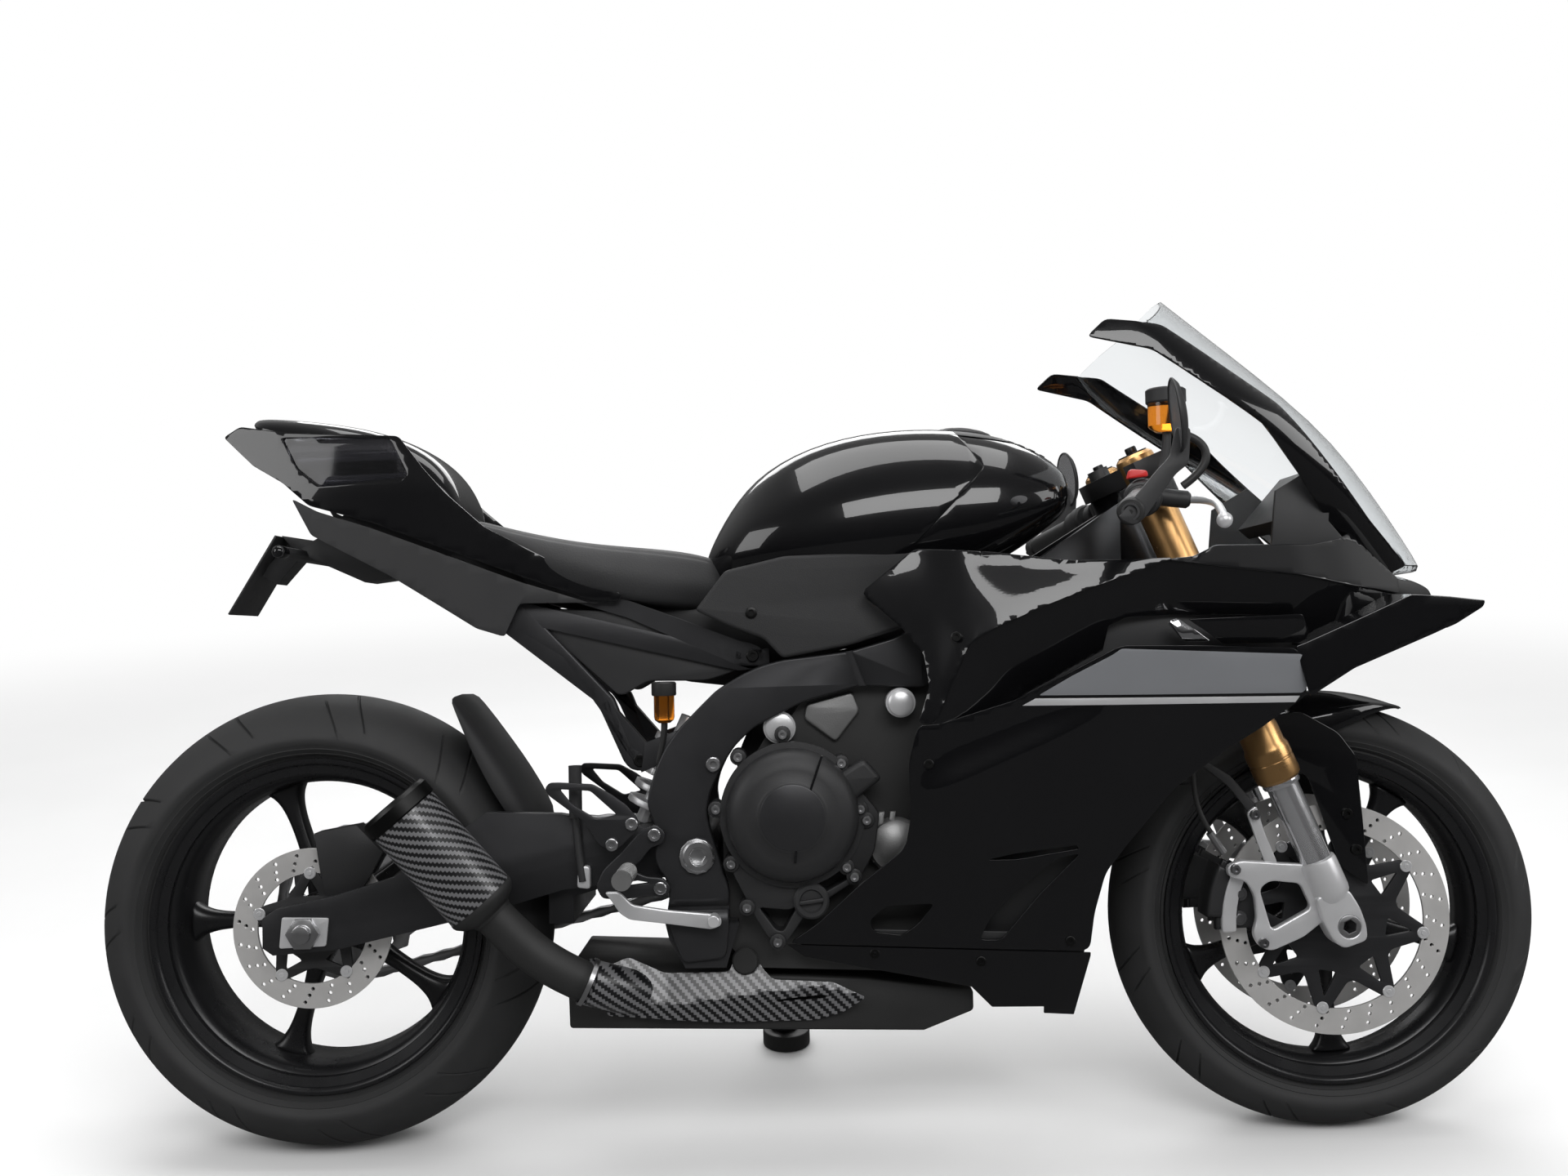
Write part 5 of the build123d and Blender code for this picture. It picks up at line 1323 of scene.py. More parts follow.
class SPORTBIKE_OT_tank(bpy.types.Operator):
    """Model the tank, its gloss side wedge and its slotted matte cover"""

    bl_idname = "sportbike.tank"
    bl_label = "Tank"

    def execute(self, context):
        tank = tank_part("tank_shell", 0, TANK_SEAM, "INTERSECT")
        round_edges(tank, 1.2 * MM, 2, 60)
        finish(tank, "chassis", "gloss", ["fuel_tank"], 50)
        wedge = tank_part("tank_wedge", 1.5, TANK_SEAM, "DIFFERENCE")
        cut_with(wedge, side_block(COVER_TOP, -TANK_CUT, TANK_CUT), "DIFFERENCE")
        round_edges(wedge, 0.8 * MM, 2, 60)
        finish(wedge, "chassis", "gloss", ["tank_cover"], 50)
        cover = tank_part("tank_top", 0.5, COVER_TOP, "INTERSECT")
        for k in range(SLOTS):
            slot = [(x + SLOT_PITCH * k, z) for x, z in SLOT]
            for near, far in ((-72, -34), (34, 72)):
                cut_with(cover, side_block(slot, near, far), "DIFFERENCE")
        round_edges(cover, 0.8 * MM, 2, 60)
        finish(cover, "chassis", "moulded", (), 40)
        place = BIKE @ Matrix.Translation((928, 0, 994)) @ Matrix.Rotation(radians(7), 4, "Y")
        cap = lathe("filler_cap", [(0, 12), (18, 12), (20, 10.5), (20, 9.5), (31, 9.5), (34, 7.5),
                                   (38, 7), (41, 4.5), (42, -4), (0, -4)], place, 48)
        finish(cap, "chassis", "moulded", (), 30)
        return {"FINISHED"}


# Seat stations: forward, bottom, half-width, shoulder height, top at the side and in the middle.
SEAT = (
    (217, 850, 86, 874, 888, 890), (250, 824, 108, 856, 878, 879), (310, 795, 136, 832, 862, 862),
    (377, 773, 146, 814, 848, 845), (440, 758, 142, 798, 841, 837), (500, 748, 124, 790, 836, 832),
    (550, 744, 98, 785, 828, 826), (594, 742, 80, 780, 810, 811),
)


SEAM_SHARE = 0.82               # the seam runs at this share of the half-width
SEAM_HALF = 4                   # the seam's channel: its half-width and depth
SEAM_DEPTH = 1.6


def sew(pad):
    """Sink a narrow channel along the seam on each side of the seat."""
    turned = BIKE.inverted()
    stations = [row[0] for row in SEAT]
    for vertex in pad.data.vertices:
        x, y, z = turned @ vertex.co
        half = smooth_value(stations, [row[2] for row in SEAT], x)
        top = smooth_value(stations, [row[4] for row in SEAT], x)
        off = abs(abs(y) - half * SEAM_SHARE)
        if z > top - 14 and off < SEAM_HALF:
            vertex.co -= UP * (SEAM_DEPTH * (1 - off / SEAM_HALF) * MM)


class SPORTBIKE_OT_seat(bpy.types.Operator):
    """Model the rider's seat as a crowned pad with a sewn seam"""

    bl_idname = "sportbike.seat"
    bl_label = "Seat"

    def execute(self, context):
        sections = []
        for x, bottom, half, shoulder, top, middle in SEAT:
            side = [(half - 18, bottom), (half - 4, (bottom + shoulder) / 2), (half, shoulder),
                    (half - 7, shoulder + (top - shoulder) * 0.55), (half * 0.8, top - 2),
                    (half * 0.45, top)]
            ring = side + [(0, middle)] + mirrored(side) + [(0, bottom)]
            sections.append([(x, y, z) for y, z in ring])
        pad = skin("seat_pad", sections)
        subdivide(pad, 3)
        sew(pad)
        finish(pad, "chassis", "seat", ["seat"], 60)
        return {"FINISHED"}


# Cowl over the passenger's place: forward, bottom, half-width below and above, top.
COWL = (
    (216, 878, 82, 70, 900), (205, 886, 88, 74, 932), (186, 898, 92, 78, 962),
    (150, 908, 92, 78, 992), (81, 930, 86, 72, 1020), (0, 966, 68, 56, 1034),
    (-60, 1000, 48, 40, 1041), (-108, 1027, 32, 26, 1044),
)
TAIL_STATIONS = (-140, 0, 180, 300, 440)
TAIL_HALVES = (52, 92, 118, 138, 132)
TAIL_UPPER = [
    (-138, 1012), (-112, 1026), (-37, 1012), (129, 1000), (168, 950), (200, 915), (253, 868),
    (371, 806), (440, 772), (436, 762), (400, 764), (300, 800), (190, 842), (90, 880), (0, 906),
    (-40, 940), (-89, 968),
]
TAIL_LOWER = [
    (-27, 917), (10, 898), (90, 872), (190, 834), (300, 792), (400, 760), (434, 761), (301, 762),
    (279, 717), (240, 729), (115, 806), (2, 865),
]
TAIL_INSERT = [(-46, 1006), (118, 997), (146, 942), (17, 932), (-20, 960)]


def tail_reach(x, z):
    """The tail's side: it leans in towards the top."""
    return smooth_value(TAIL_STATIONS, TAIL_HALVES, x) - max(z - 930, 0) * 0.12 - 1


class SPORTBIKE_OT_tail(bpy.types.Operator):
    """Model the tail's side panels, their smoked inserts and the cowl"""

    bl_idname = "sportbike.tail"
    bl_label = "Tail"

    def execute(self, context):
        upper = both_sides("tail_upper", [rounded(TAIL_UPPER, 6, 3), rounded(TAIL_INSERT, 8, 3)],
                           tail_reach, 3)
        finish(upper, "chassis", "gloss", ["tail_panels"], 50)
        lower = both_sides("tail_lower", [rounded(TAIL_LOWER, 5, 3)],
                           lambda x, z: tail_reach(x, z) - 3, 3)
        finish(lower, "chassis", "moulded", (), 50)
        insert = both_sides("tail_insert", [rounded(TAIL_INSERT, 8, 3)],
                            lambda x, z: tail_reach(x, z) - 2.5, 2)
        finish(insert, "chassis", "smoke", (), 50)
        bowl = both_sides("tail_bowl", [rounded(TAIL_INSERT, 8, 3)],
                          lambda x, z: tail_reach(x, z) - 14 - 6 * sin((z - 930) / 9), 2, step=6)
        finish(bowl, "chassis", "lamp", (), 50)
        sections = []
        for x, bottom, low, high, top in COWL:
            half = [(low * 0.9, bottom), (low, (bottom * 2 + top) / 3), (high, top - 9),
                    (high * 0.6, top - 1)]
            ring = half + [(0, top)] + mirrored(half)
            sections.append([(x, y, z) for y, z in ring])
        cowl = skin("cowl_shell", sections)
        subdivide(cowl, 2)
        finish(cowl, "chassis", "gloss", ["seat_cowl"], 60)
        return {"FINISHED"}


# --- frame, engine and what is bolted to them ---------------------------------------------------
def outward(x, y, z, base=BIKE):
    """A place whose own +Z points sideways, away from the middle."""
    place = side_view(y, base) @ Matrix.Translation((x, z, 0))
    return place if y < 0 else place @ Matrix.Rotation(pi, 4, "X")


def aim(start, toward, base=BIKE):
    """A place at one point whose own +Z looks at another."""
    turn = (Vector(toward) - Vector(start)).to_track_quat("Z", "Y").to_matrix().to_4x4()
    return base @ Matrix.Translation(start) @ turn


def wrap_uv(piece, place, radius=0):
    """A UV map in metres: round a place's own +Z, or flat across it where the radius is nought."""
    back = place.inverted()
    while piece.data.uv_layers:
        piece.data.uv_layers.remove(piece.data.uv_layers[0])
    layer = piece.data.uv_layers.new(name="UVMap")
    for face in piece.data.polygons:
        middle = back @ face.center
        about = atan2(middle.y, middle.x)
        for k in face.loop_indices:
            point = back @ piece.data.vertices[piece.data.loops[k].vertex_index].co
            turn = atan2(point.y, point.x)
            turn += 2 * pi * round((about - turn) / (2 * pi))
            layer.data[k].uv = (
                (turn * radius * MM, point.z * MM) if radius else (point.x * MM, point.y * MM))
    return piece


def studs(name, places, radius, rise, socket=0.5, base=BIKE):
    """Socket-headed screws that face sideways: places are (forward, side, up)."""
    heads = []
    for place in places:
        profile = [(0, rise * 0.35), (radius * socket, rise * 0.35), (radius * socket, rise),
                   (radius * 0.88, rise), (radius, rise * 0.8), (radius, -3), (0, -3)]
        heads.append(lathe(name, profile, outward(*place, base), 16))
    piece = join(heads, name)
    tidy_normals(piece)
    return piece


FRAME_EDGE = [
    (850, 722), (806, 703), (751, 688), (700, 682), (658, 678), (628, 670), (602, 659), (568, 639),
    (542, 614), (516, 588), (497, 562), (484, 535), (475, 508), (471, 487), (479, 466), (484, 436),
    (480, 420), (484, 403), (496, 386), (500, 365), (495, 336), (503, 308), (516, 274), (574, 280),
    (579, 318), (580, 372), (572, 397), (564, 425), (555, 455), (552, 481), (558, 505), (574, 537),
    (592, 564), (618, 588), (656, 607), (686, 621), (728, 632), (762, 641), (850, 636),
]
FRAME_GROOVE = [(743, 690), (751, 692), (771, 640), (762, 636)]
FRAME_STEP = [(494, 350), (582, 351), (582, 345), (496, 344)]
FRAME_SIDE = 148
SPAR_WIDTH = 24
RAIL_UPPER = [
    (240, 742), (240, 730), (301, 762), (310, 796), (303, 802), (453, 758), (602, 700), (614, 698),
    (626, 692), (630, 683), (626, 674), (616, 669), (597, 675), (448, 743), (330, 780), (300, 764),
]
RAIL_LOWER = [
    (240, 730), (301, 764), (357, 704), (425, 630), (450, 565), (463, 558), (474, 548), (472, 536),
    (460, 529), (447, 532), (438, 542), (407, 613), (357, 684), (302, 718), (278, 722),
]
RAIL_SIDE = 118
COVER_SIDE = [(310, 757), (448, 748), (597, 678), (597, 664), (554, 651), (472, 652), (440, 634),
              (430, 634), (318, 736)]
KNEE_SIDE = [
    (541, 747), (583, 800), (663, 818), (842, 822), (842, 800), (771, 760), (825, 718), (751, 696),
    (658, 680), (633, 707), (604, 718), (578, 729),
]


class SPORTBIKE_OT_frame(bpy.types.Operator):
    """Model the frame's spars with their groove, pivot and bolts, and the rails behind"""

    bl_idname = "sportbike.frame"
    bl_label = "Frame"

    def execute(self, context):
        spars = []
        for y in (-FRAME_SIDE + SPAR_WIDTH / 2, FRAME_SIDE - SPAR_WIDTH / 2):
            spar = slab("spar", [rounded(FRAME_EDGE, 9, 3), circle(540, 417, 17, 32)],
                        side_view(y), SPAR_WIDTH, 3.0, 4)
            spars.append(spar)
        core = dressed("main_frame", 1.0, 2)
        for low, high, inner in ((330, 760, 121), (240, 330, 141)):
            for near, far in ((-FRAME_SIDE - 6, -inner), (inner, FRAME_SIDE + 6)):
                block = side_block([(400, low), (846, low), (846, high), (400, high)], near, far)
                cut_with(core, block, "DIFFERENCE")
        for spar in spars:
            for groove in (FRAME_GROOVE, FRAME_STEP):
                for near, far in ((-FRAME_SIDE - 4, -FRAME_SIDE + 2.5),
                                  (FRAME_SIDE - 2.5, FRAME_SIDE + 4)):
                    cut_with(spar, side_block(groove, near, far), "DIFFERENCE")
        body = join([core, *spars], "frame_spars")
        finish(body, "chassis", "chassis", ["main_frame"], 40)
        studs_place = [(562, -FRAME_SIDE, 539)]
        finish(studs("frame_screws", studs_place, 10, 6, 0.5), "chassis", "steel", ())
        ring = [(13, 2), (13, 8), (19, 8), (22, 5.5), (22, -4), (13, -4)]
        nut = lathe("pivot_ring", ring, outward(540, -FRAME_SIDE, 417), 48)
        finish(nut, "chassis", "steel", ())
        rails = []
        for y in (-RAIL_SIDE + 10, RAIL_SIDE - 10):
            for outline in (RAIL_UPPER, RAIL_LOWER):
                rails.append(slab("rail", [rounded(outline, 5, 3)], side_view(y), 20, 3.5, 4))
        rear = dressed("rear_frame", 1.0, 2)
        finish(join([rear, *rails], "rear_rails"), "chassis", "chassis", ["rear_frame"],
               40)
        places = [(617, -RAIL_SIDE, 684), (460, -RAIL_SIDE, 544)]
        finish(studs("rail_screws", places, 8.5, 4, 0.5), "chassis", "black_bolt", ())
        covers = [slab("cover", [rounded(COVER_SIDE, 9, 4)], side_view(y), 8, 2.5, 3)
                  for y in (-RAIL_SIDE + 10, RAIL_SIDE - 10)]
        finish(join(covers, "side_infills"), "chassis", "moulded", ["side_covers"], 40)
        knees = [slab("knee", [rounded(KNEE_SIDE, 6, 3)], side_view(y), 26, 5, 4)
                 for y in (-FRAME_SIDE + 7, FRAME_SIDE - 7)]
        finish(join(knees, "knee_pads"), "chassis", "textured", ["knee_panels"], 40)
        finish(studs("knee_screws", [(617, -FRAME_SIDE - 5, 742)], 8, 3, 0.5), "chassis",
               "black_bolt", ())
        return {"FINISHED"}


COVER_FACE = -171                # the covers' outer flange, from the middle
CLUTCH_PLACE = (667, 471)
CLUTCH_PROFILE = (
    # radius, distance out from the flange
    (0, 25), (44, 25), (47, 24), (49, 22.5), (62, 22), (76, 18), (85, 10), (88.5, 2), (89, -8),
    (97, -9), (97, -24), (0, -24),
)
COVER_SCREWS = (
    (656, 578), (596, 549), (565, 480), (584, 407), (734, 538), (758, 477), (766, 462), (738, 400),
    (748, 387), (604, 349), (644, 303),
)
FLANGE = [
    (585, 395), (597, 372), (613, 338), (633, 305), (655, 300), (682, 338), (722, 364), (756, 384),
    (776, 420), (784, 470), (760, 500), (720, 540), (640, 560), (590, 520),
]
POCKETS = (
    [(620, 348), (660, 344), (672, 350), (652, 316), (642, 318)],
    [(706, 366), (740, 384), (732, 396), (700, 380)],
)
PUMP = [(712, 488), (722, 520), (764, 545), (788, 518), (752, 492), (728, 474)]


class SPORTBIKE_OT_engine(bpy.types.Operator):
    """Model the engine's covers with their screws, cap, pump and head"""

    bl_idname = "sportbike.engine"
    bl_label = "Engine"

    def execute(self, context):
        turn = side_view(COVER_FACE) @ Matrix.Translation((*CLUTCH_PLACE, 0))
        clutch = lathe("clutch_cover", list(CLUTCH_PROFILE), turn, 96)
        finish(clutch, "chassis", "engine", (), 40)
        lens = lathe("clutch_face", [(0, 26.4), (42, 26.4), (43.5, 25.6), (43.5, 24), (0, 24)],
                     turn, 64)
        finish(lens, "chassis", "chassis", (), 30)
        strip = slab("clutch_trim", [[(668, 412), (672, 450), (684, 490), (706, 552), (709, 551),
                                      (687, 489), (675, 449), (671, 412)]],
                     side_view(COVER_FACE - 23), 5, 0.4)
        finish(strip, "chassis", "gloss", (), 30)
        flange = slab("flange", [rounded(FLANGE, 8, 3), *[rounded(hole, 4, 2) for hole in POCKETS]],
                      side_view(COVER_FACE + 30), 34, 2, 3)
        lobes = [slab("lobe", [circle(x, z, 11, 16)], side_view(COVER_FACE + 27), 36, 1.5, 2)
                 for x, z in COVER_SCREWS]
        left = lathe("left_cover", [(0, 16), (30, 16), (34, 13), (62, 11), (74, 5), (79, -4),
                                    (80, -22), (0, -22)], outward(745, 146, 440), 64)
        finish(join([flange, *lobes, left], "engine_flange"), "chassis", "engine",
               ["engine_covers"], 40)
        screws = [(x, COVER_FACE + 9, z) for x, z in COVER_SCREWS]
        finish(studs("cover_screws", screws, 6.5, 5.5, 0.45), "chassis", "steel", ())
        cap = [(0, 3), (14, 3), (16, 6), (21, 6), (24, 3), (24, -6), (0, -6)]
        oil = lathe("oil_cap", cap, outward(690, COVER_FACE + 12, 356), 32)
        bar = slab("cap_bar", [rounded([(674, 352), (706, 356), (706, 361), (674, 357)], 2, 2)],
                   side_view(COVER_FACE + 6), 8, 1)
        finish(join([oil, bar], "oil_cap"), "chassis", "moulded", (), 30)
        pump = slab("pump", [rounded(PUMP, 8, 4)], side_view(COVER_FACE + 12), 34, 7, 4)
        finish(pump, "chassis", "engine", (), 50)
        case = slab("starter_case", [rounded([(688, 616), (752, 632), (762, 606), (728, 564),
                                              (686, 596)], 6, 3)], side_view(-118), 26, 3, 3)
        finish(case, "chassis", "cast", (), 40)
        ribs = [slab("rib", [[(744 + 15 * k, 402), (752 + 15 * k, 402), (762 + 15 * k, 470),
                              (754 + 15 * k, 470)]], side_view(-136), 10, 2, 2) for k in range(4)]
        disc = lathe("crank_cap", [(0, 12), (20, 12), (24, 9), (34, 8), (38, 2), (38, -8), (0, -8)],
                     outward(806, -136, 424), 48)
        finish(join([disc, *ribs], "crank_boss"), "chassis", "cast", (), 40)
        knob = lathe("thermostat", [(0, 22), (13, 22), (17, 19), (17, 12), (20, 12), (20, -10),
                                    (0, -10)],
                     outward(816, -140, 617), 32)
        top = lathe("gear_cap", [(0, 8), (14, 8), (19, 6), (19, 2), (22, 2), (22, -10), (0, -10)],
                    outward(652, -134, 586), 32)
        finish(join([knob, top], "bright_caps"), "chassis", "silver", (), 40)
        return {"FINISHED"}


HEEL = [
    (336, 512), (342, 520), (356, 520), (400, 517), (425, 503), (445, 488), (460, 470), (460, 455),
    (440, 436), (426, 426), (407, 437), (390, 466), (362, 487), (341, 503),
]
HEEL_HOLE = [(356, 511), (397, 508), (432, 476), (405, 470), (372, 491)]
HANGER = [
    (484, 462), (497, 450), (494, 436), (476, 430), (462, 412), (448, 402), (470, 392), (492, 390),
    (503, 378), (498, 365), (470, 366), (438, 362), (410, 364), (402, 380), (412, 402), (436, 424),
    (462, 452),
]
HANGER_HOLE = [(440, 396), (452, 388), (474, 384), (440, 380), (428, 386)]
PEDAL = [
    (414, 374), (434, 374), (452, 356), (500, 348), (560, 342), (569, 338), (570, 327), (556, 322),
    (500, 330), (447, 337), (434, 346), (424, 362),
]
REST_SIDE = FRAME_SIDE + 10
PEG = (447, 401)
PEG_RINGS = 8


class SPORTBIKE_OT_footrests(bpy.types.Operator):
    """Model the footrests' plates, pegs, pedal and the rear brake's cylinder"""

    bl_idname = "sportbike.footrests"
    bl_label = "Footrests"

    def execute(self, context):
        parts = []
        for hand in (-1, 1):
            heel = slab("heel", [rounded(HEEL, 4, 3), rounded(HEEL_HOLE, 4, 3)],
                        side_view(hand * REST_SIDE), 5, 1, 2)
            hanger = slab("hanger", [rounded(HANGER, 6, 3), rounded(HANGER_HOLE, 3, 2)],
                          side_view(hand * (REST_SIDE - 5)), 9, 2, 3)
            parts += [heel, hanger]
        finish(join(parts, "rest_plates"), "chassis", "chassis", ["footrests"], 40)
        places = [(x, -REST_SIDE - 2, z)
                  for x, z in ((452, 463), (425, 436), (482, 448), (489, 377))]
        finish(studs("rest_screws", places, 8.5, 5, 0.5), "chassis", "steel", ())
        pegs = []
        for hand in (-1, 1):
            profile = [(0, 0), (11, 0), (11, 8)]
            for k in range(PEG_RINGS):
                low = 9 + 9 * k
                profile += [(10, low), (12.5, low + 2), (12.5, low + 6), (10, low + 8)]
            profile += [(13, 82), (13, 87), (0, 87)]
            pegs.append(lathe("peg", profile, outward(PEG[0], hand * REST_SIDE, PEG[1]), 20))
        finish(join(pegs, "pegs"), "chassis", "cast", (), 30)
        pedal = slab("pedal", [rounded(PEDAL, 5, 3)], side_view(-FRAME_SIDE - 14), 9, 2, 3)
        toe = lathe("toe", [(0, 0), (7, 0), (8, 1), (8, 25), (7, 26), (0, 26)],
                    outward(560, -FRAME_SIDE - 10, 335), 18)
        finish(join([pedal, toe], "brake_pedal"), "chassis", "silver", (), 40)
        pump = tube("master_pump", [(373, -132, 540), (373, -132, 470)], 9, sides=16, order=2)
        lower = tube("master_rod", [(373, -132, 472), (376, -134, 430), (382, -136, 384)], 6,
                     sides=12)
        finish(join([pump, lower], "rear_master"), "chassis", "moulded", (), 40)
        ends = [slab("clevis", [rounded([(374, 376), (392, 374), (392, 404), (376, 406)], 4, 2)],
                     side_view(-132), 14, 2, 2)]
        finish(join(ends, "clevis"), "chassis", "silver", (), 40)
        return {"FINISHED"}


# --- fork ---------------------------------------------------------------------------------------
FORK_SIDE = 105
FORK_TUBE = [
    (0, 705), (22, 705), (24, 703), (26, 701), (27, 696), (27, 294), (28, 292), (28, 268),
    (30.5, 262), (31, 258), (31, 247), (30.4, 246), (30.4, 244), (31, 243), (31, 224), (30, 219),
    (26, 215), (0, 215),
]
FORK_CAP = [(0, 716), (7, 716), (8, 714), (8, 707), (20, 707), (21, 704), (21, 699), (0, 699)]
STANCHION = [(0, 60), (21.5, 60), (21.5, 207), (25, 208), (26, 211), (25, 217), (0, 217)]
CLAMP_BARREL = [
    (0, 34), (14, 35), (21, 39), (25, 46), (26, 52), (26, 92), (25, 96), (21.6, 98), (0, 98),
]
AXLE_LUG = [(-26, 54), (20, 46), (24, 18), (22, -8), (15, -27), (-19, -25), (-28, -10), (-30, 20)]
ARM_OUTER = [
    (-14, 20), (-60, 8), (-108, 8), (-121, 20), (-122, 40), (-108, 56), (-98, 86), (-100, 108),
    (-120, 124), (-116, 138), (-96, 138), (-58, 118), (-14, 96),
]
ARM_HOLE = [(-34, 40), (-96, 34), (-88, 92), (-70, 96), (-34, 76)]
FORK_BOLTS = ((-114, 24), (-108, 130))
SENSOR_ARM = [(-60, 192), (-44, 196), (-49, 160), (-50, 112), (-66, 106), (-64, 150)]
SENSOR_BRACE = [
    (-92, 280), (-80, 276), (-58, 246), (-48, 212), (-42, 192), (-56, 186), (-60, 206),
    (-68, 236),
]


def sector(inner, outer, start, end, count=9):
    """An outline between two arcs about the axle."""
    turns = [radians(start + (end - start) * k / (count - 1)) for k in range(count)]
    return ([(outer * cos(t), outer * sin(t)) for t in turns]
            + [(inner * cos(t), inner * sin(t)) for t in reversed(turns)])


class SPORTBIKE_OT_fork(bpy.types.Operator):
    """Model the fork's tubes, its cast bottoms, the radial calipers and their hoses"""

    bl_idname = "sportbike.fork"
    bl_label = "Fork"

    def execute(self, context):
        tubes, caps, chromes, casts, sockets = [], [], [], [], []
        bodies, bands, pistons, hoses, ends, braces = [], [], [], [], [], []
        for hand in (-1, 1):
            leg = FORK @ Matrix.Translation((0, hand * FORK_SIDE, 0))
            tubes.append(lathe("tube", FORK_TUBE, leg, 48))
            caps.append(lathe("cap", FORK_CAP, leg, 24))
            chromes.append(lathe("stanchion", STANCHION, leg, 48))
            casts.append(lathe("barrel", CLAMP_BARREL, leg, 48))
            lug = slab("lug", [rounded(AXLE_LUG, 8, 4), circle(0, 0, 15, 32)],
                       side_view(hand * FORK_SIDE, FORK), 34, 3, 3)
            arm = slab("arm", [rounded(ARM_OUTER, 8, 4), rounded(ARM_HOLE, 8, 4)],
                       side_view(hand * (FORK_SIDE - 1), FORK), 13, 3, 3)
            sensor = slab("sensor", [rounded(SENSOR_ARM, 5, 3)],
                          side_view(hand * (FORK_SIDE - 2), FORK), 6, 1.2, 2)
            casts += [lug, arm, sensor]
            sockets.append(slab("axle_end", [circle(0, 0, 15.4, 32), circle(0, 0, 9.5, 6)],
                                side_view(hand * (FORK_SIDE + 1), FORK), 34, 1, 2))
            body = slab("caliper", [sector(142, 186, 131, 154)],
                        side_view(hand * 70, FORK), 52, 5, 3)
            inner = slab("caliper_inner", [sector(118, 172, 128, 158)],
                         side_view(hand * 51, FORK), 12, 3, 3)
            outer = slab("caliper_outer", [sector(116, 172, 127, 160)],
                         side_view(hand * 82, FORK), 17, 4, 3)
            bodies += [body, inner, outer]
            bands.append(slab("caliper_band", [rounded(sector(146, 166, 124, 161), 4, 3)],
                              side_view(hand * 93, FORK), 10, 2.5, 3))
            for u, w in ((-112, 92), (-126, 62)):
                pistons.append(lathe("piston", [(0, 4), (5, 4), (6, 3), (6, 1), (9, 1), (10, 0),
                                                (10, -5), (0, -5)],
                                     outward(u, hand * 94, w, FORK), 20))
            hose = [(-22, hand * 74, 472), (-44, hand * 92, 400), (-84, hand * 100, 322),
                    (-106, hand * 100, 268), (-118, hand * 99, 226), (-116, hand * 97, 190),
                    (-110, hand * 92, 158)]
            hoses.append(tube("hose", hose, 3.6, FORK, 12))
            ends.append(tube("fitting", [(-116, hand * 96, 186), (-109, hand * 91, 152)], 5.5, FORK,
                             12, 2))
            braces.append(slab("brace", [rounded(SENSOR_BRACE, 6, 3)],
                               side_view(hand * (FORK_SIDE - 8), FORK), 7, 2, 2))
        finish(join(tubes, "fork_tubes"), "steering", "gold", ["fork_legs"], 30)
        finish(join(caps, "fork_caps"), "steering", "black_bolt", (), 30)
        finish(join(chromes, "stanchions"), "steering", "chrome", (), 30)
        finish(join(casts, "fork_castings"), "steering", "silver", ["fork_bottoms"], 40)
        finish(join(sockets, "axle_ends"), "steering", "steel", (), 30)
        finish(join(bodies, "caliper_bodies"), "steering", "engine", ["front_calipers"], 40)
        finish(join(bands, "caliper_bands"), "steering", "silver", (), 40)
        finish(join(pistons, "caliper_pistons"), "steering", "bolt", (), 30)
        finish(join(hoses, "front_hoses"), "steering", "hose", (), 50)
        finish(join(ends, "hose_fittings"), "steering", "steel", (), 30)
        finish(join(braces, "sensor_braces"), "steering", "moulded", (), 40)
        places = [(u, hand * (FORK_SIDE + 6), w) for u, w in FORK_BOLTS for hand in (-1, 1)]
        places += [(-52, hand * (FORK_SIDE + 2), 186) for hand in (-1, 1)]
        heads = studs("fork_bolts", places, 7, 6, 0.45, FORK)
        finish(heads, "steering", "bolt", (), 30)
        return {"FINISHED"}


FENDER_BLADE = [
    (-43, 291), (10, 260), (34, 227), (40, 142), (45, 46), (6, 75), (-34, 200), (-120, 240),
    (-110, 280),
]
FENDER_ROWS = (
    # degrees about the axle, top, half-width, drop of the sides
    (66, 318, 16, 4), (69, 318, 34, 8), (73, 318, 52, 16), (78, 318, 64, 30), (84, 318, 72, 48),
    (90, 318, 74, 62), (96, 318, 74, 70), (104, 318, 74, 72), (112, 318, 72, 72),
)
HUGGER_ROWS = (
    (22, 350, 96, 30), (28, 352, 98, 40), (36, 354, 100, 42), (44, 358, 100, 36), (51, 364, 98, 24),
    (56, 370, 92, 12), (59, 374, 84, 5),
)


def arch(name, rows, centre):
    """A mudguard's blade that wraps its wheel and runs out to a point."""
    sections = []
    for turn, top, half, drop in rows:
        ring = []
        for inset in (0, 3.2):
            side = [(-half + inset, -drop), (-half + inset, -drop * 0.5 - 2),
                    (-half * 0.9 + inset, -drop * 0.32 - inset), (-half * 0.5, -5 - inset),
                    (0, -inset)]
            side += mirrored(side[:-1])
            ring += side if inset == 0 else side[::-1]
        t = radians(turn)
        sections.append([(centre[0] + (top + down) * cos(t), y, centre[1] + (top + down) * sin(t))
                         for y, down in ring])
    piece = skin(name, sections)
    subdivide(piece, 1)
    return piece


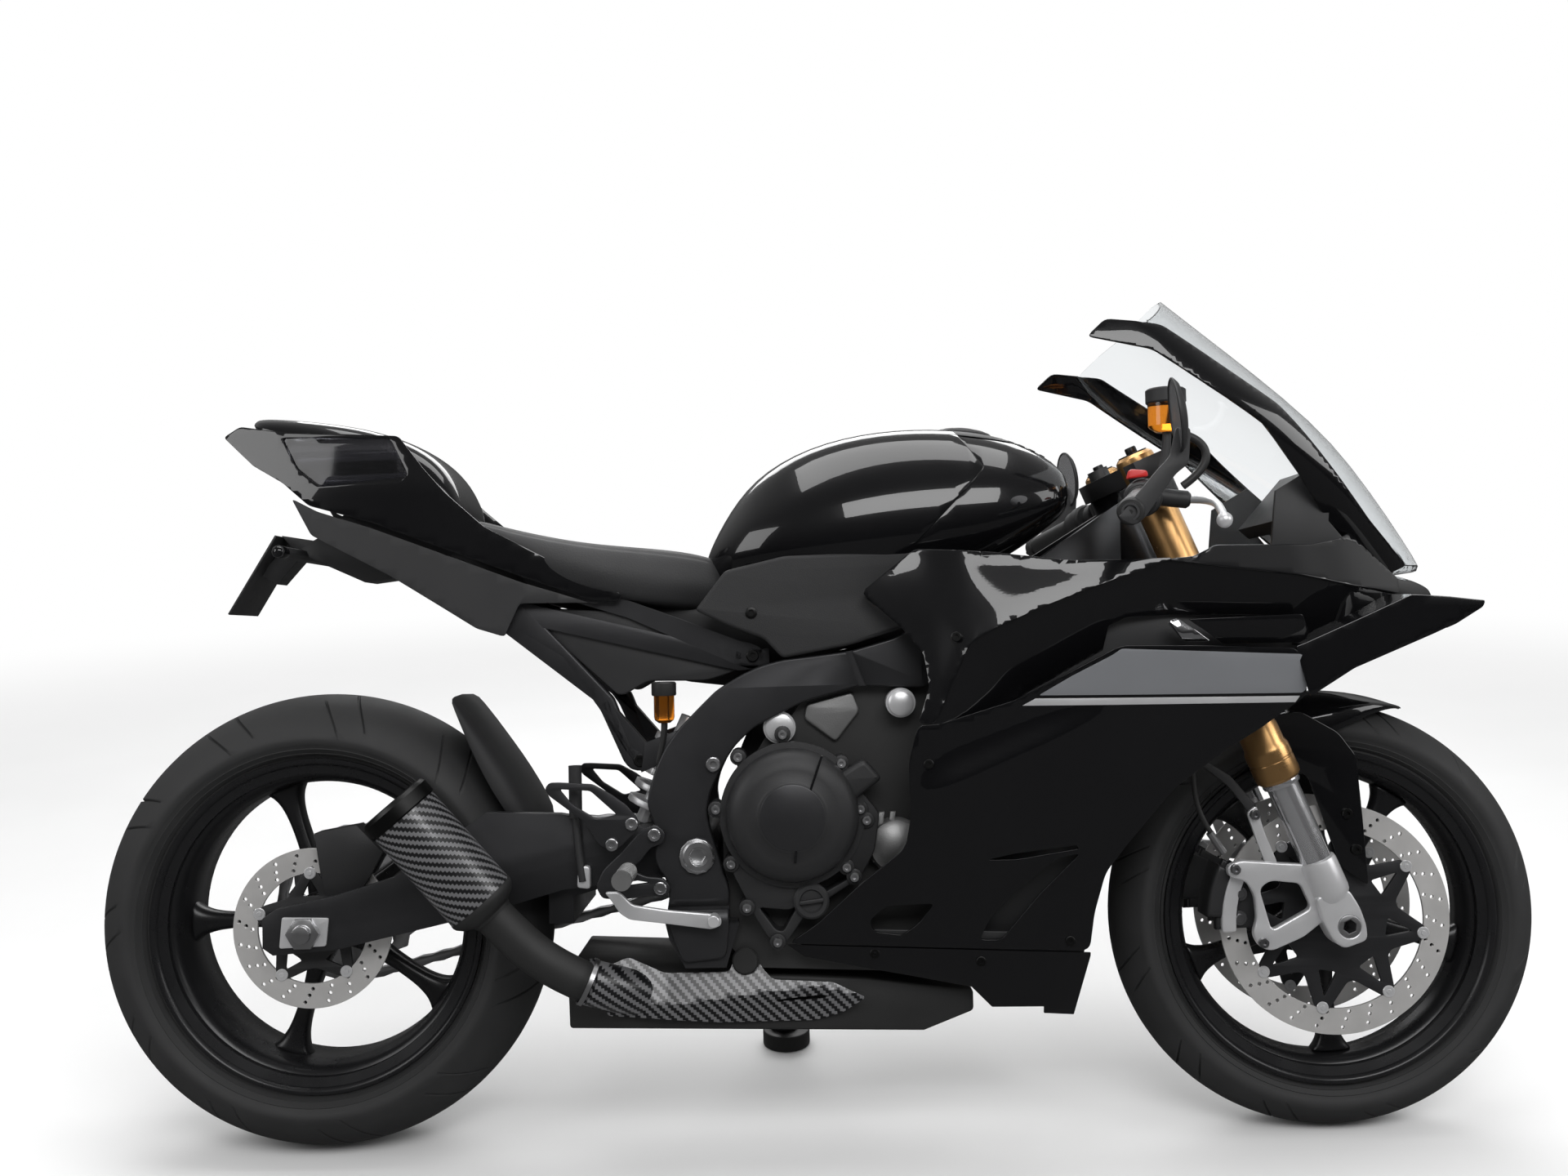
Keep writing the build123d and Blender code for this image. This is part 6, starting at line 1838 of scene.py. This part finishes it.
class SPORTBIKE_OT_fender(bpy.types.Operator):
    """Model the front mudguard with its side blades, and the rear tyre's hugger"""

    bl_idname = "sportbike.fender"
    bl_label = "Mudguards"

    def execute(self, context):
        blades = [slab("blade", [rounded(FENDER_BLADE, 8, 3)],
                       side_view(hand * 76) @ Matrix.Translation((*FRONT_CENTRE, 0)), 4, 1.2, 3)
                  for hand in (-1, 1)]
        fender = join([arch("arch", FENDER_ROWS, FRONT_CENTRE), *blades], "fender")
        finish(fender, "steering", "gloss", ["front_fender"], 45)
        places = [(x, hand * 78, z) for x, z in ((1438, 447), (1449, 397)) for hand in (-1, 1)]
        finish(studs("fender_bolts", places, 7.5, 4, 0.4), "steering", "black_bolt", (), 30)
        finish(arch("hugger_blade", HUGGER_ROWS, REAR_CENTRE), "chassis", "textured",
               ["hugger"], 45)
        return {"FINISHED"}


# --- cockpit ------------------------------------------------------------------------------------
BAR_ROOT = (1170, 105, 900)
BAR_TIP = (1089, 340, 853)
LEVER_END = (1209, 318, 841)
RESERVOIR_AT = (1176, -185, 970)
MIRROR_AT = (1146, 348, 968)
MIRROR_ARM = [
    (-76, -124), (-58, -134), (-44, -126), (-4, -72), (12, -60), (16, -16), (-2, -14), (-10, -50),
    (-26, -66),
]
GRIP = [
    (0, -12), (3, -12), (3, -7), (8, -7), (8, -12), (15, -11), (17, -8), (17, 6), (15, 8), (15, 12),
    (16.6, 14), (16.6, 124), (19, 126), (19, 131), (12, 133), (12, 190), (0, 190),
]


class SPORTBIKE_OT_cockpit(bpy.types.Operator):
    """Model the bars, levers, switches, reservoir and mirrors"""

    bl_idname = "sportbike.cockpit"
    bl_label = "Cockpit"

    def execute(self, context):
        blacks, grips, silvers, glasses, rings = [], [], [], [], []
        for hand in (-1, 1):
            tip, root = ((x, hand * y, z) for x, y, z in (BAR_TIP, BAR_ROOT))
            along = (Vector(root) - Vector(tip)).normalized()
            grips.append(lathe("grip", GRIP, aim(tip, root), 32))
            housing = lathe("housing", [(0, 0), (20, 0), (23, 3), (23, 18), (25, 21), (25, 38),
                                        (22, 42), (0, 42)],
                            aim(Vector(tip) + along * 134, root), 24)
            bar = lathe("bar", [(0, 0), (11, 0), (11, 80), (0, 80)],
                        aim(Vector(tip) + along * 172, root), 24)
            clamp = lathe("clamp", [(27, 0), (36, 0), (37, 2), (37, 30), (36, 32), (27, 32)],
                          FORK @ Matrix.Translation((0, hand * FORK_SIDE, 634)), 40)
            perch = Vector(tip) + along * 190
            ahead = Vector((1, 0, -0.12)).normalized()
            master = lathe("master", [(0, 0), (10, 0), (12, 2), (12, 42), (9, 46), (0, 46)],
                           aim(perch + ahead * 14, perch + ahead * 60), 24)
            ring = lathe("perch", [(11, 0), (19, 0), (20, 1), (20, 15), (19, 16), (11, 16)],
                         aim(perch, root), 24)
            x, y, z = MIRROR_AT
            arm = slab("mirror_arm", [rounded(MIRROR_ARM, 6, 3)],
                       side_view(hand * y) @ Matrix.Translation((x, z, 0)), 6, 1.5, 2)
            back = aim((x - 1, hand * y, z), (x + 99, hand * (y + 14), z + 12))
            shell = lathe("mirror_shell", [(0, 11), (24, 10), (40, 6), (46, 1), (46, -1), (44, -2),
                                           (43.5, 0), (0, 0)], back, 48)
            glasses.append(lathe("glass", [(0, 0.6), (43, 0.6), (43, -0.6), (0, -0.6)], back, 48))
            blacks += [housing, bar, clamp, master, ring, arm, shell]
            pivot = perch + ahead * 56
            end = (LEVER_END[0], hand * LEVER_END[1], LEVER_END[2])
            bend = (pivot.x + 26, hand * (abs(pivot.y) + 22), pivot.z - 2)
            lever = tube("lever", [tuple(pivot), bend, (1226, hand * 250, 862), end], 5.5,
                         sides=12)
            ball = lathe("ball", [(0, 10), (4, 9.2), (7.5, 6.6), (9.6, 3), (10, 0), (9.6, -3),
                                  (7.5, -6.6), (4, -9.2), (0, -10)], aim(end, root), 20)
            silvers += [lever, ball]
            rings.append(lathe("bar_ring", [(8.4, -12.6), (11, -12.6), (11, -11), (8.4, -11)],
                               aim(tip, root), 32))
        finish(join(grips, "grips"), "steering", "hose", ["handlebars"], 35)
        finish(join(blacks, "controls"), "steering", "moulded", ["hand_controls"], 35)
        finish(join(glasses, "mirror_glasses"), "steering", "chrome", (), 30)
        finish(join(silvers, "levers"), "steering", "silver", (), 40)
        finish(join(rings, "bar_rings"), "steering", "bolt", (), 30)
        at = BIKE @ Matrix.Translation(RESERVOIR_AT)
        bottle = lathe("reservoir", [(0, 0), (14, 0), (20, 4), (24, 8), (24, 38), (0, 38)], at, 32)
        finish(bottle, "steering", "amber", (), 35)
        cap = lathe("reservoir_cap", [(0, 58), (24, 58), (26.5, 56), (26.5, 40), (25, 38), (0, 38)],
                    at, 20)
        foot = tube("reservoir_foot", [(1176, -185, 972), (1176, -185, 930), (1158, -183, 892)], 6)
        finish(join([cap, foot], "reservoir_top"), "steering", "moulded", (), 35)
        hose = tube("reservoir_hose", [(1196, -184, 968), (1226, -186, 958), (1228, -186, 920),
                                       (1196, -182, 898)], 5.5)
        finish(hose, "steering", "hose", (), 50)
        switch = slab("kill_switch", [rounded([(-14, -5), (14, -2), (12, 6), (-10, 8)], 3, 3)],
                      side_view(-196) @ Matrix.Translation((1132, 912, 0)), 14, 2, 2)
        finish(switch, "steering", "red", (), 35)
        return {"FINISHED"}


# --- what shows between the frame, the engine and the seat --------------------------------------
TRAYS = (
    # half-width, outline in the side view
    (82, [(440, 700), (462, 758), (560, 772), (640, 766), (850, 800), (850, 700), (740, 690),
          (640, 650), (600, 640), (520, 650)]),
    (64, [(596, 430), (590, 540), (620, 610), (690, 680), (800, 690), (846, 640), (846, 560),
          (650, 430)]),
    (70, [(190, 842), (330, 792), (470, 748), (470, 722), (330, 762), (190, 812)]),
)
ADJUSTER = [(-34, 300), (30, 302), (34, 340), (-30, 342)]
SIGNALS = [(0, 0), (5, 0), (8, 3), (9, 10), (9, 30), (6, 34), (0, 36)]


class SPORTBIKE_OT_trays(bpy.types.Operator):
    """Model the dark trays, the rear reservoir, the chain's adjusters and the signals"""

    bl_idname = "sportbike.trays"
    bl_label = "Trays"

    def execute(self, context):
        trays = [slab("tray", [rounded(outline, 10, 3)], side_view(0), 2 * half, 4, 2)
                 for half, outline in TRAYS]
        finish(join(trays, "inner_trays"), "chassis", "moulded", (), 40)
        at = BIKE @ Matrix.Translation((495, -125, 595))
        bottle = lathe("rear_bottle", [(0, 0), (8, 0), (13, 4), (14, 8), (14, 38), (0, 38)], at, 24)
        finish(bottle, "chassis", "amber", (), 35)
        cap = lathe("rear_cap", [(0, 56), (15, 56), (17, 54), (17, 39), (16, 37), (0, 37)], at, 24)
        stem = tube("rear_stem", [(495, -125, 597), (495, -124, 570), (484, -120, 540)], 4.5)
        finish(join([cap, stem], "rear_reservoir"), "chassis", "hose", (), 35)
        plates = [slab("adjuster", [rounded(ADJUSTER, 3, 2)], side_view(y), 4, 1, 2)
                  for y in (-124, 127)]
        finish(join(plates, "adjusters"), "chassis", "silver", (), 30)
        lamps = [lathe("signal", SIGNALS, outward(-30, hand * 98, 840), 24) for hand in (-1, 1)]
        finish(join(lamps, "rear_signals"), "chassis", "smoke", (), 40)
        return {"FINISHED"}


# --- exhaust ------------------------------------------------------------------------------------
CAN_LOW = Vector((262, -178, 356))
CAN_HIGH = Vector((150, -196, 492))
LINK_PIPE = (
    (474, -92, 222), (446, -116, 228), (404, -150, 244), (352, -164, 272), (306, -171, 306),
    (262, -178, 356),
)
SHIELD = [
    (410, 200), (477, 197), (560, 189), (693, 188), (730, 200), (761, 222), (716, 243), (636, 247),
    (621, 262), (613, 283), (600, 291), (588, 284), (577, 257), (489, 256), (440, 278), (412, 268),
]
SHIELD_SLOT = [(640, 217), (700, 219), (712, 224), (702, 226), (640, 220)]


def shield_reach(x, z):
    """The shield's face: two facets that meet on a raised line."""
    ridge = line_height(((410, 240), (489, 214), (640, 232), (700, 236), (761, 222)), x)
    return 139 - 0.42 * abs(z - ridge)


class SPORTBIKE_OT_exhaust(bpy.types.Operator):
    """Model the short canister, its link pipe and the woven heat shield"""

    bl_idname = "sportbike.exhaust"
    bl_label = "Exhaust"

    def execute(self, context):
        place = aim(CAN_LOW, CAN_HIGH)
        length = (CAN_HIGH - CAN_LOW).length
        can = lathe("can", [(44, 12), (47.6, 12), (48, 14), (48, length - 10), (47.6, length - 8),
                            (44, length - 8)], place, 64)
        wrap_uv(can, place, 48)
        finish(can, "chassis", "carbon", ["silencer"], 30)
        ends = lathe("can_ring", [(36, length - 40), (38, length + 12), (42, length + 14),
                                  (47, length + 13), (50.5, length + 8), (50.5, length - 8),
                                  (49, length - 10), (46, length - 10), (44, length - 40)],
                     place, 64)
        finish(ends, "chassis", "black_bolt", (), 30)
        core = lathe("can_core", [(0, length - 36), (40, length - 36), (40, length - 44),
                                  (0, length - 44)], place, 32)
        cone = lathe("can_cone", [(0, -10), (28, -10), (29, -6), (40, 0), (47, 8), (48.6, 12),
                                  (48.6, 16), (0, 16)], place, 64)
        link = tube("link_pipe", LINK_PIPE, 26.5, sides=32)
        finish(join([core, cone, link], "link_pipe"), "chassis", "pipe", (), 40)
        sleeve = tube("pipe_sleeve", [(464, -101, 224), (430, -134, 236), (388, -160, 256)], 30.5,
                      sides=32)
        wrap_uv(sleeve, side_view(-130))
        finish(sleeve, "chassis", "carbon", (), 40)
        clip = lathe("pipe_clip", [(30, -3), (32.4, -3), (32.4, 3), (30, 3)],
                     aim((390, -159.4, 255), (350, -166, 274)), 48)
        finish(clip, "chassis", "steel", (), 30)
        plate = panel("heat_plate", [rounded(SHIELD, 6, 3), SHIELD_SLOT], shield_reach, 2.4, -1,
                      step=5, rim=0.5)
        wrap_uv(plate, side_view(-130))
        stems = [lathe("stem", [(0, -24), (8, -24), (8, -2), (0, -2)], outward(x, -126, z), 16)
                 for x, z in ((480, 226), (690, 214))]
        finish(plate, "chassis", "carbon", ["heat_shield"], 16)
        finish(join(stems, "shield_stems"), "chassis", "moulded", (), 30)
        finish(studs("shield_bolts", [(599, -122, 272), (490, -128, 206)], 7, 5), "chassis",
               "bolt", (), 30)
        washer = lathe("shield_washer", [(0, 0), (17, 0), (18, 2), (18, 5), (16, 7), (0, 7)],
                       outward(599, -126, 272), 32)
        finish(washer, "chassis", "hose", (), 30)
        return {"FINISHED"}


# --- pieces that keep their solids' shape -------------------------------------------------------
PLAIN = (
    # node, body, finish, rounding of its edges in millimetres
    ("swingarm", "chassis", "chassis", 4.0), ("rear_axle", "chassis", "steel", 0.8),
    ("shock", "chassis", "silver", 0.8),
    ("rear_caliper", "chassis", "engine", 2.5), ("chain", "chassis", "steel", 0.4),
    ("exhaust_headers", "chassis", "titanium", 0.6), ("muffler_box", "chassis", "pipe", 4.0),
    ("plate_holder", "chassis", "moulded", 0.6), ("belly_pan", "chassis", "gloss", 1.0),
    ("dashboard", "chassis", "moulded", 1.0), ("stand_pad", "chassis", "hose", 2.0),
    ("fork_yokes", "steering", "moulded", 2.0), ("rear_sprocket", "rear_wheel", "steel", 0.4),
    ("side_stand", "side_stand", "chassis", 1.5),
)


class SPORTBIKE_OT_plain_pieces(bpy.types.Operator):
    """Round the edges of the pieces that keep their solids' shape, and paint them"""

    bl_idname = "sportbike.plain_pieces"
    bl_label = "Plain pieces"

    def execute(self, context):
        for node_name, body, finish_name, edge in PLAIN:
            piece = dressed(node_name, edge)
            finish(piece, body, finish_name, [node_name])
        return {"FINISHED"}


CLASSES = (
    PaintSettings, StageSettings,
    SPORTBIKE_OT_stage, SPORTBIKE_OT_wheels, SPORTBIKE_OT_discs, SPORTBIKE_OT_fairing,
    SPORTBIKE_OT_nose, SPORTBIKE_OT_windscreen, SPORTBIKE_OT_tank, SPORTBIKE_OT_seat,
    SPORTBIKE_OT_tail, SPORTBIKE_OT_frame, SPORTBIKE_OT_engine, SPORTBIKE_OT_footrests,
    SPORTBIKE_OT_trays, SPORTBIKE_OT_fork, SPORTBIKE_OT_fender, SPORTBIKE_OT_cockpit,
    SPORTBIKE_OT_exhaust, SPORTBIKE_OT_plain_pieces,
)
STEPS = (
    "stage", "wheels", "discs", "fairing", "nose", "windscreen", "tank", "seat", "tail",
    "frame", "engine", "footrests", "trays", "fork", "fender", "cockpit", "exhaust", "plain_pieces",
)


class SPORTBIKE_PT_panel(bpy.types.Panel):
    """The bike's steps in the sidebar"""

    bl_idname = "SPORTBIKE_PT_panel"
    bl_label = "Sport bike"
    bl_space_type = "VIEW_3D"
    bl_region_type = "UI"
    bl_category = "Sport bike"

    def draw(self, context):
        for step in STEPS:
            self.layout.operator(f"sportbike.{step}")


def register():
    """Register the classes and hang the settings on the scene."""
    for item in (*CLASSES, SPORTBIKE_PT_panel):
        bpy.utils.register_class(item)
    bpy.types.Scene.sportbike_paint = bpy.props.PointerProperty(type=PaintSettings)
    bpy.types.Scene.sportbike_stage = bpy.props.PointerProperty(type=StageSettings)


def unregister():
    """Take them off again."""
    del bpy.types.Scene.sportbike_stage
    del bpy.types.Scene.sportbike_paint
    for item in reversed((*CLASSES, SPORTBIKE_PT_panel)):
        bpy.utils.unregister_class(item)


def main():
    """Build the whole bike."""
    register()
    make_finishes(bpy.context.scene.sportbike_paint)
    for step in STEPS:
        getattr(bpy.ops.sportbike, step)()


if __name__ == "__main__":
    main()
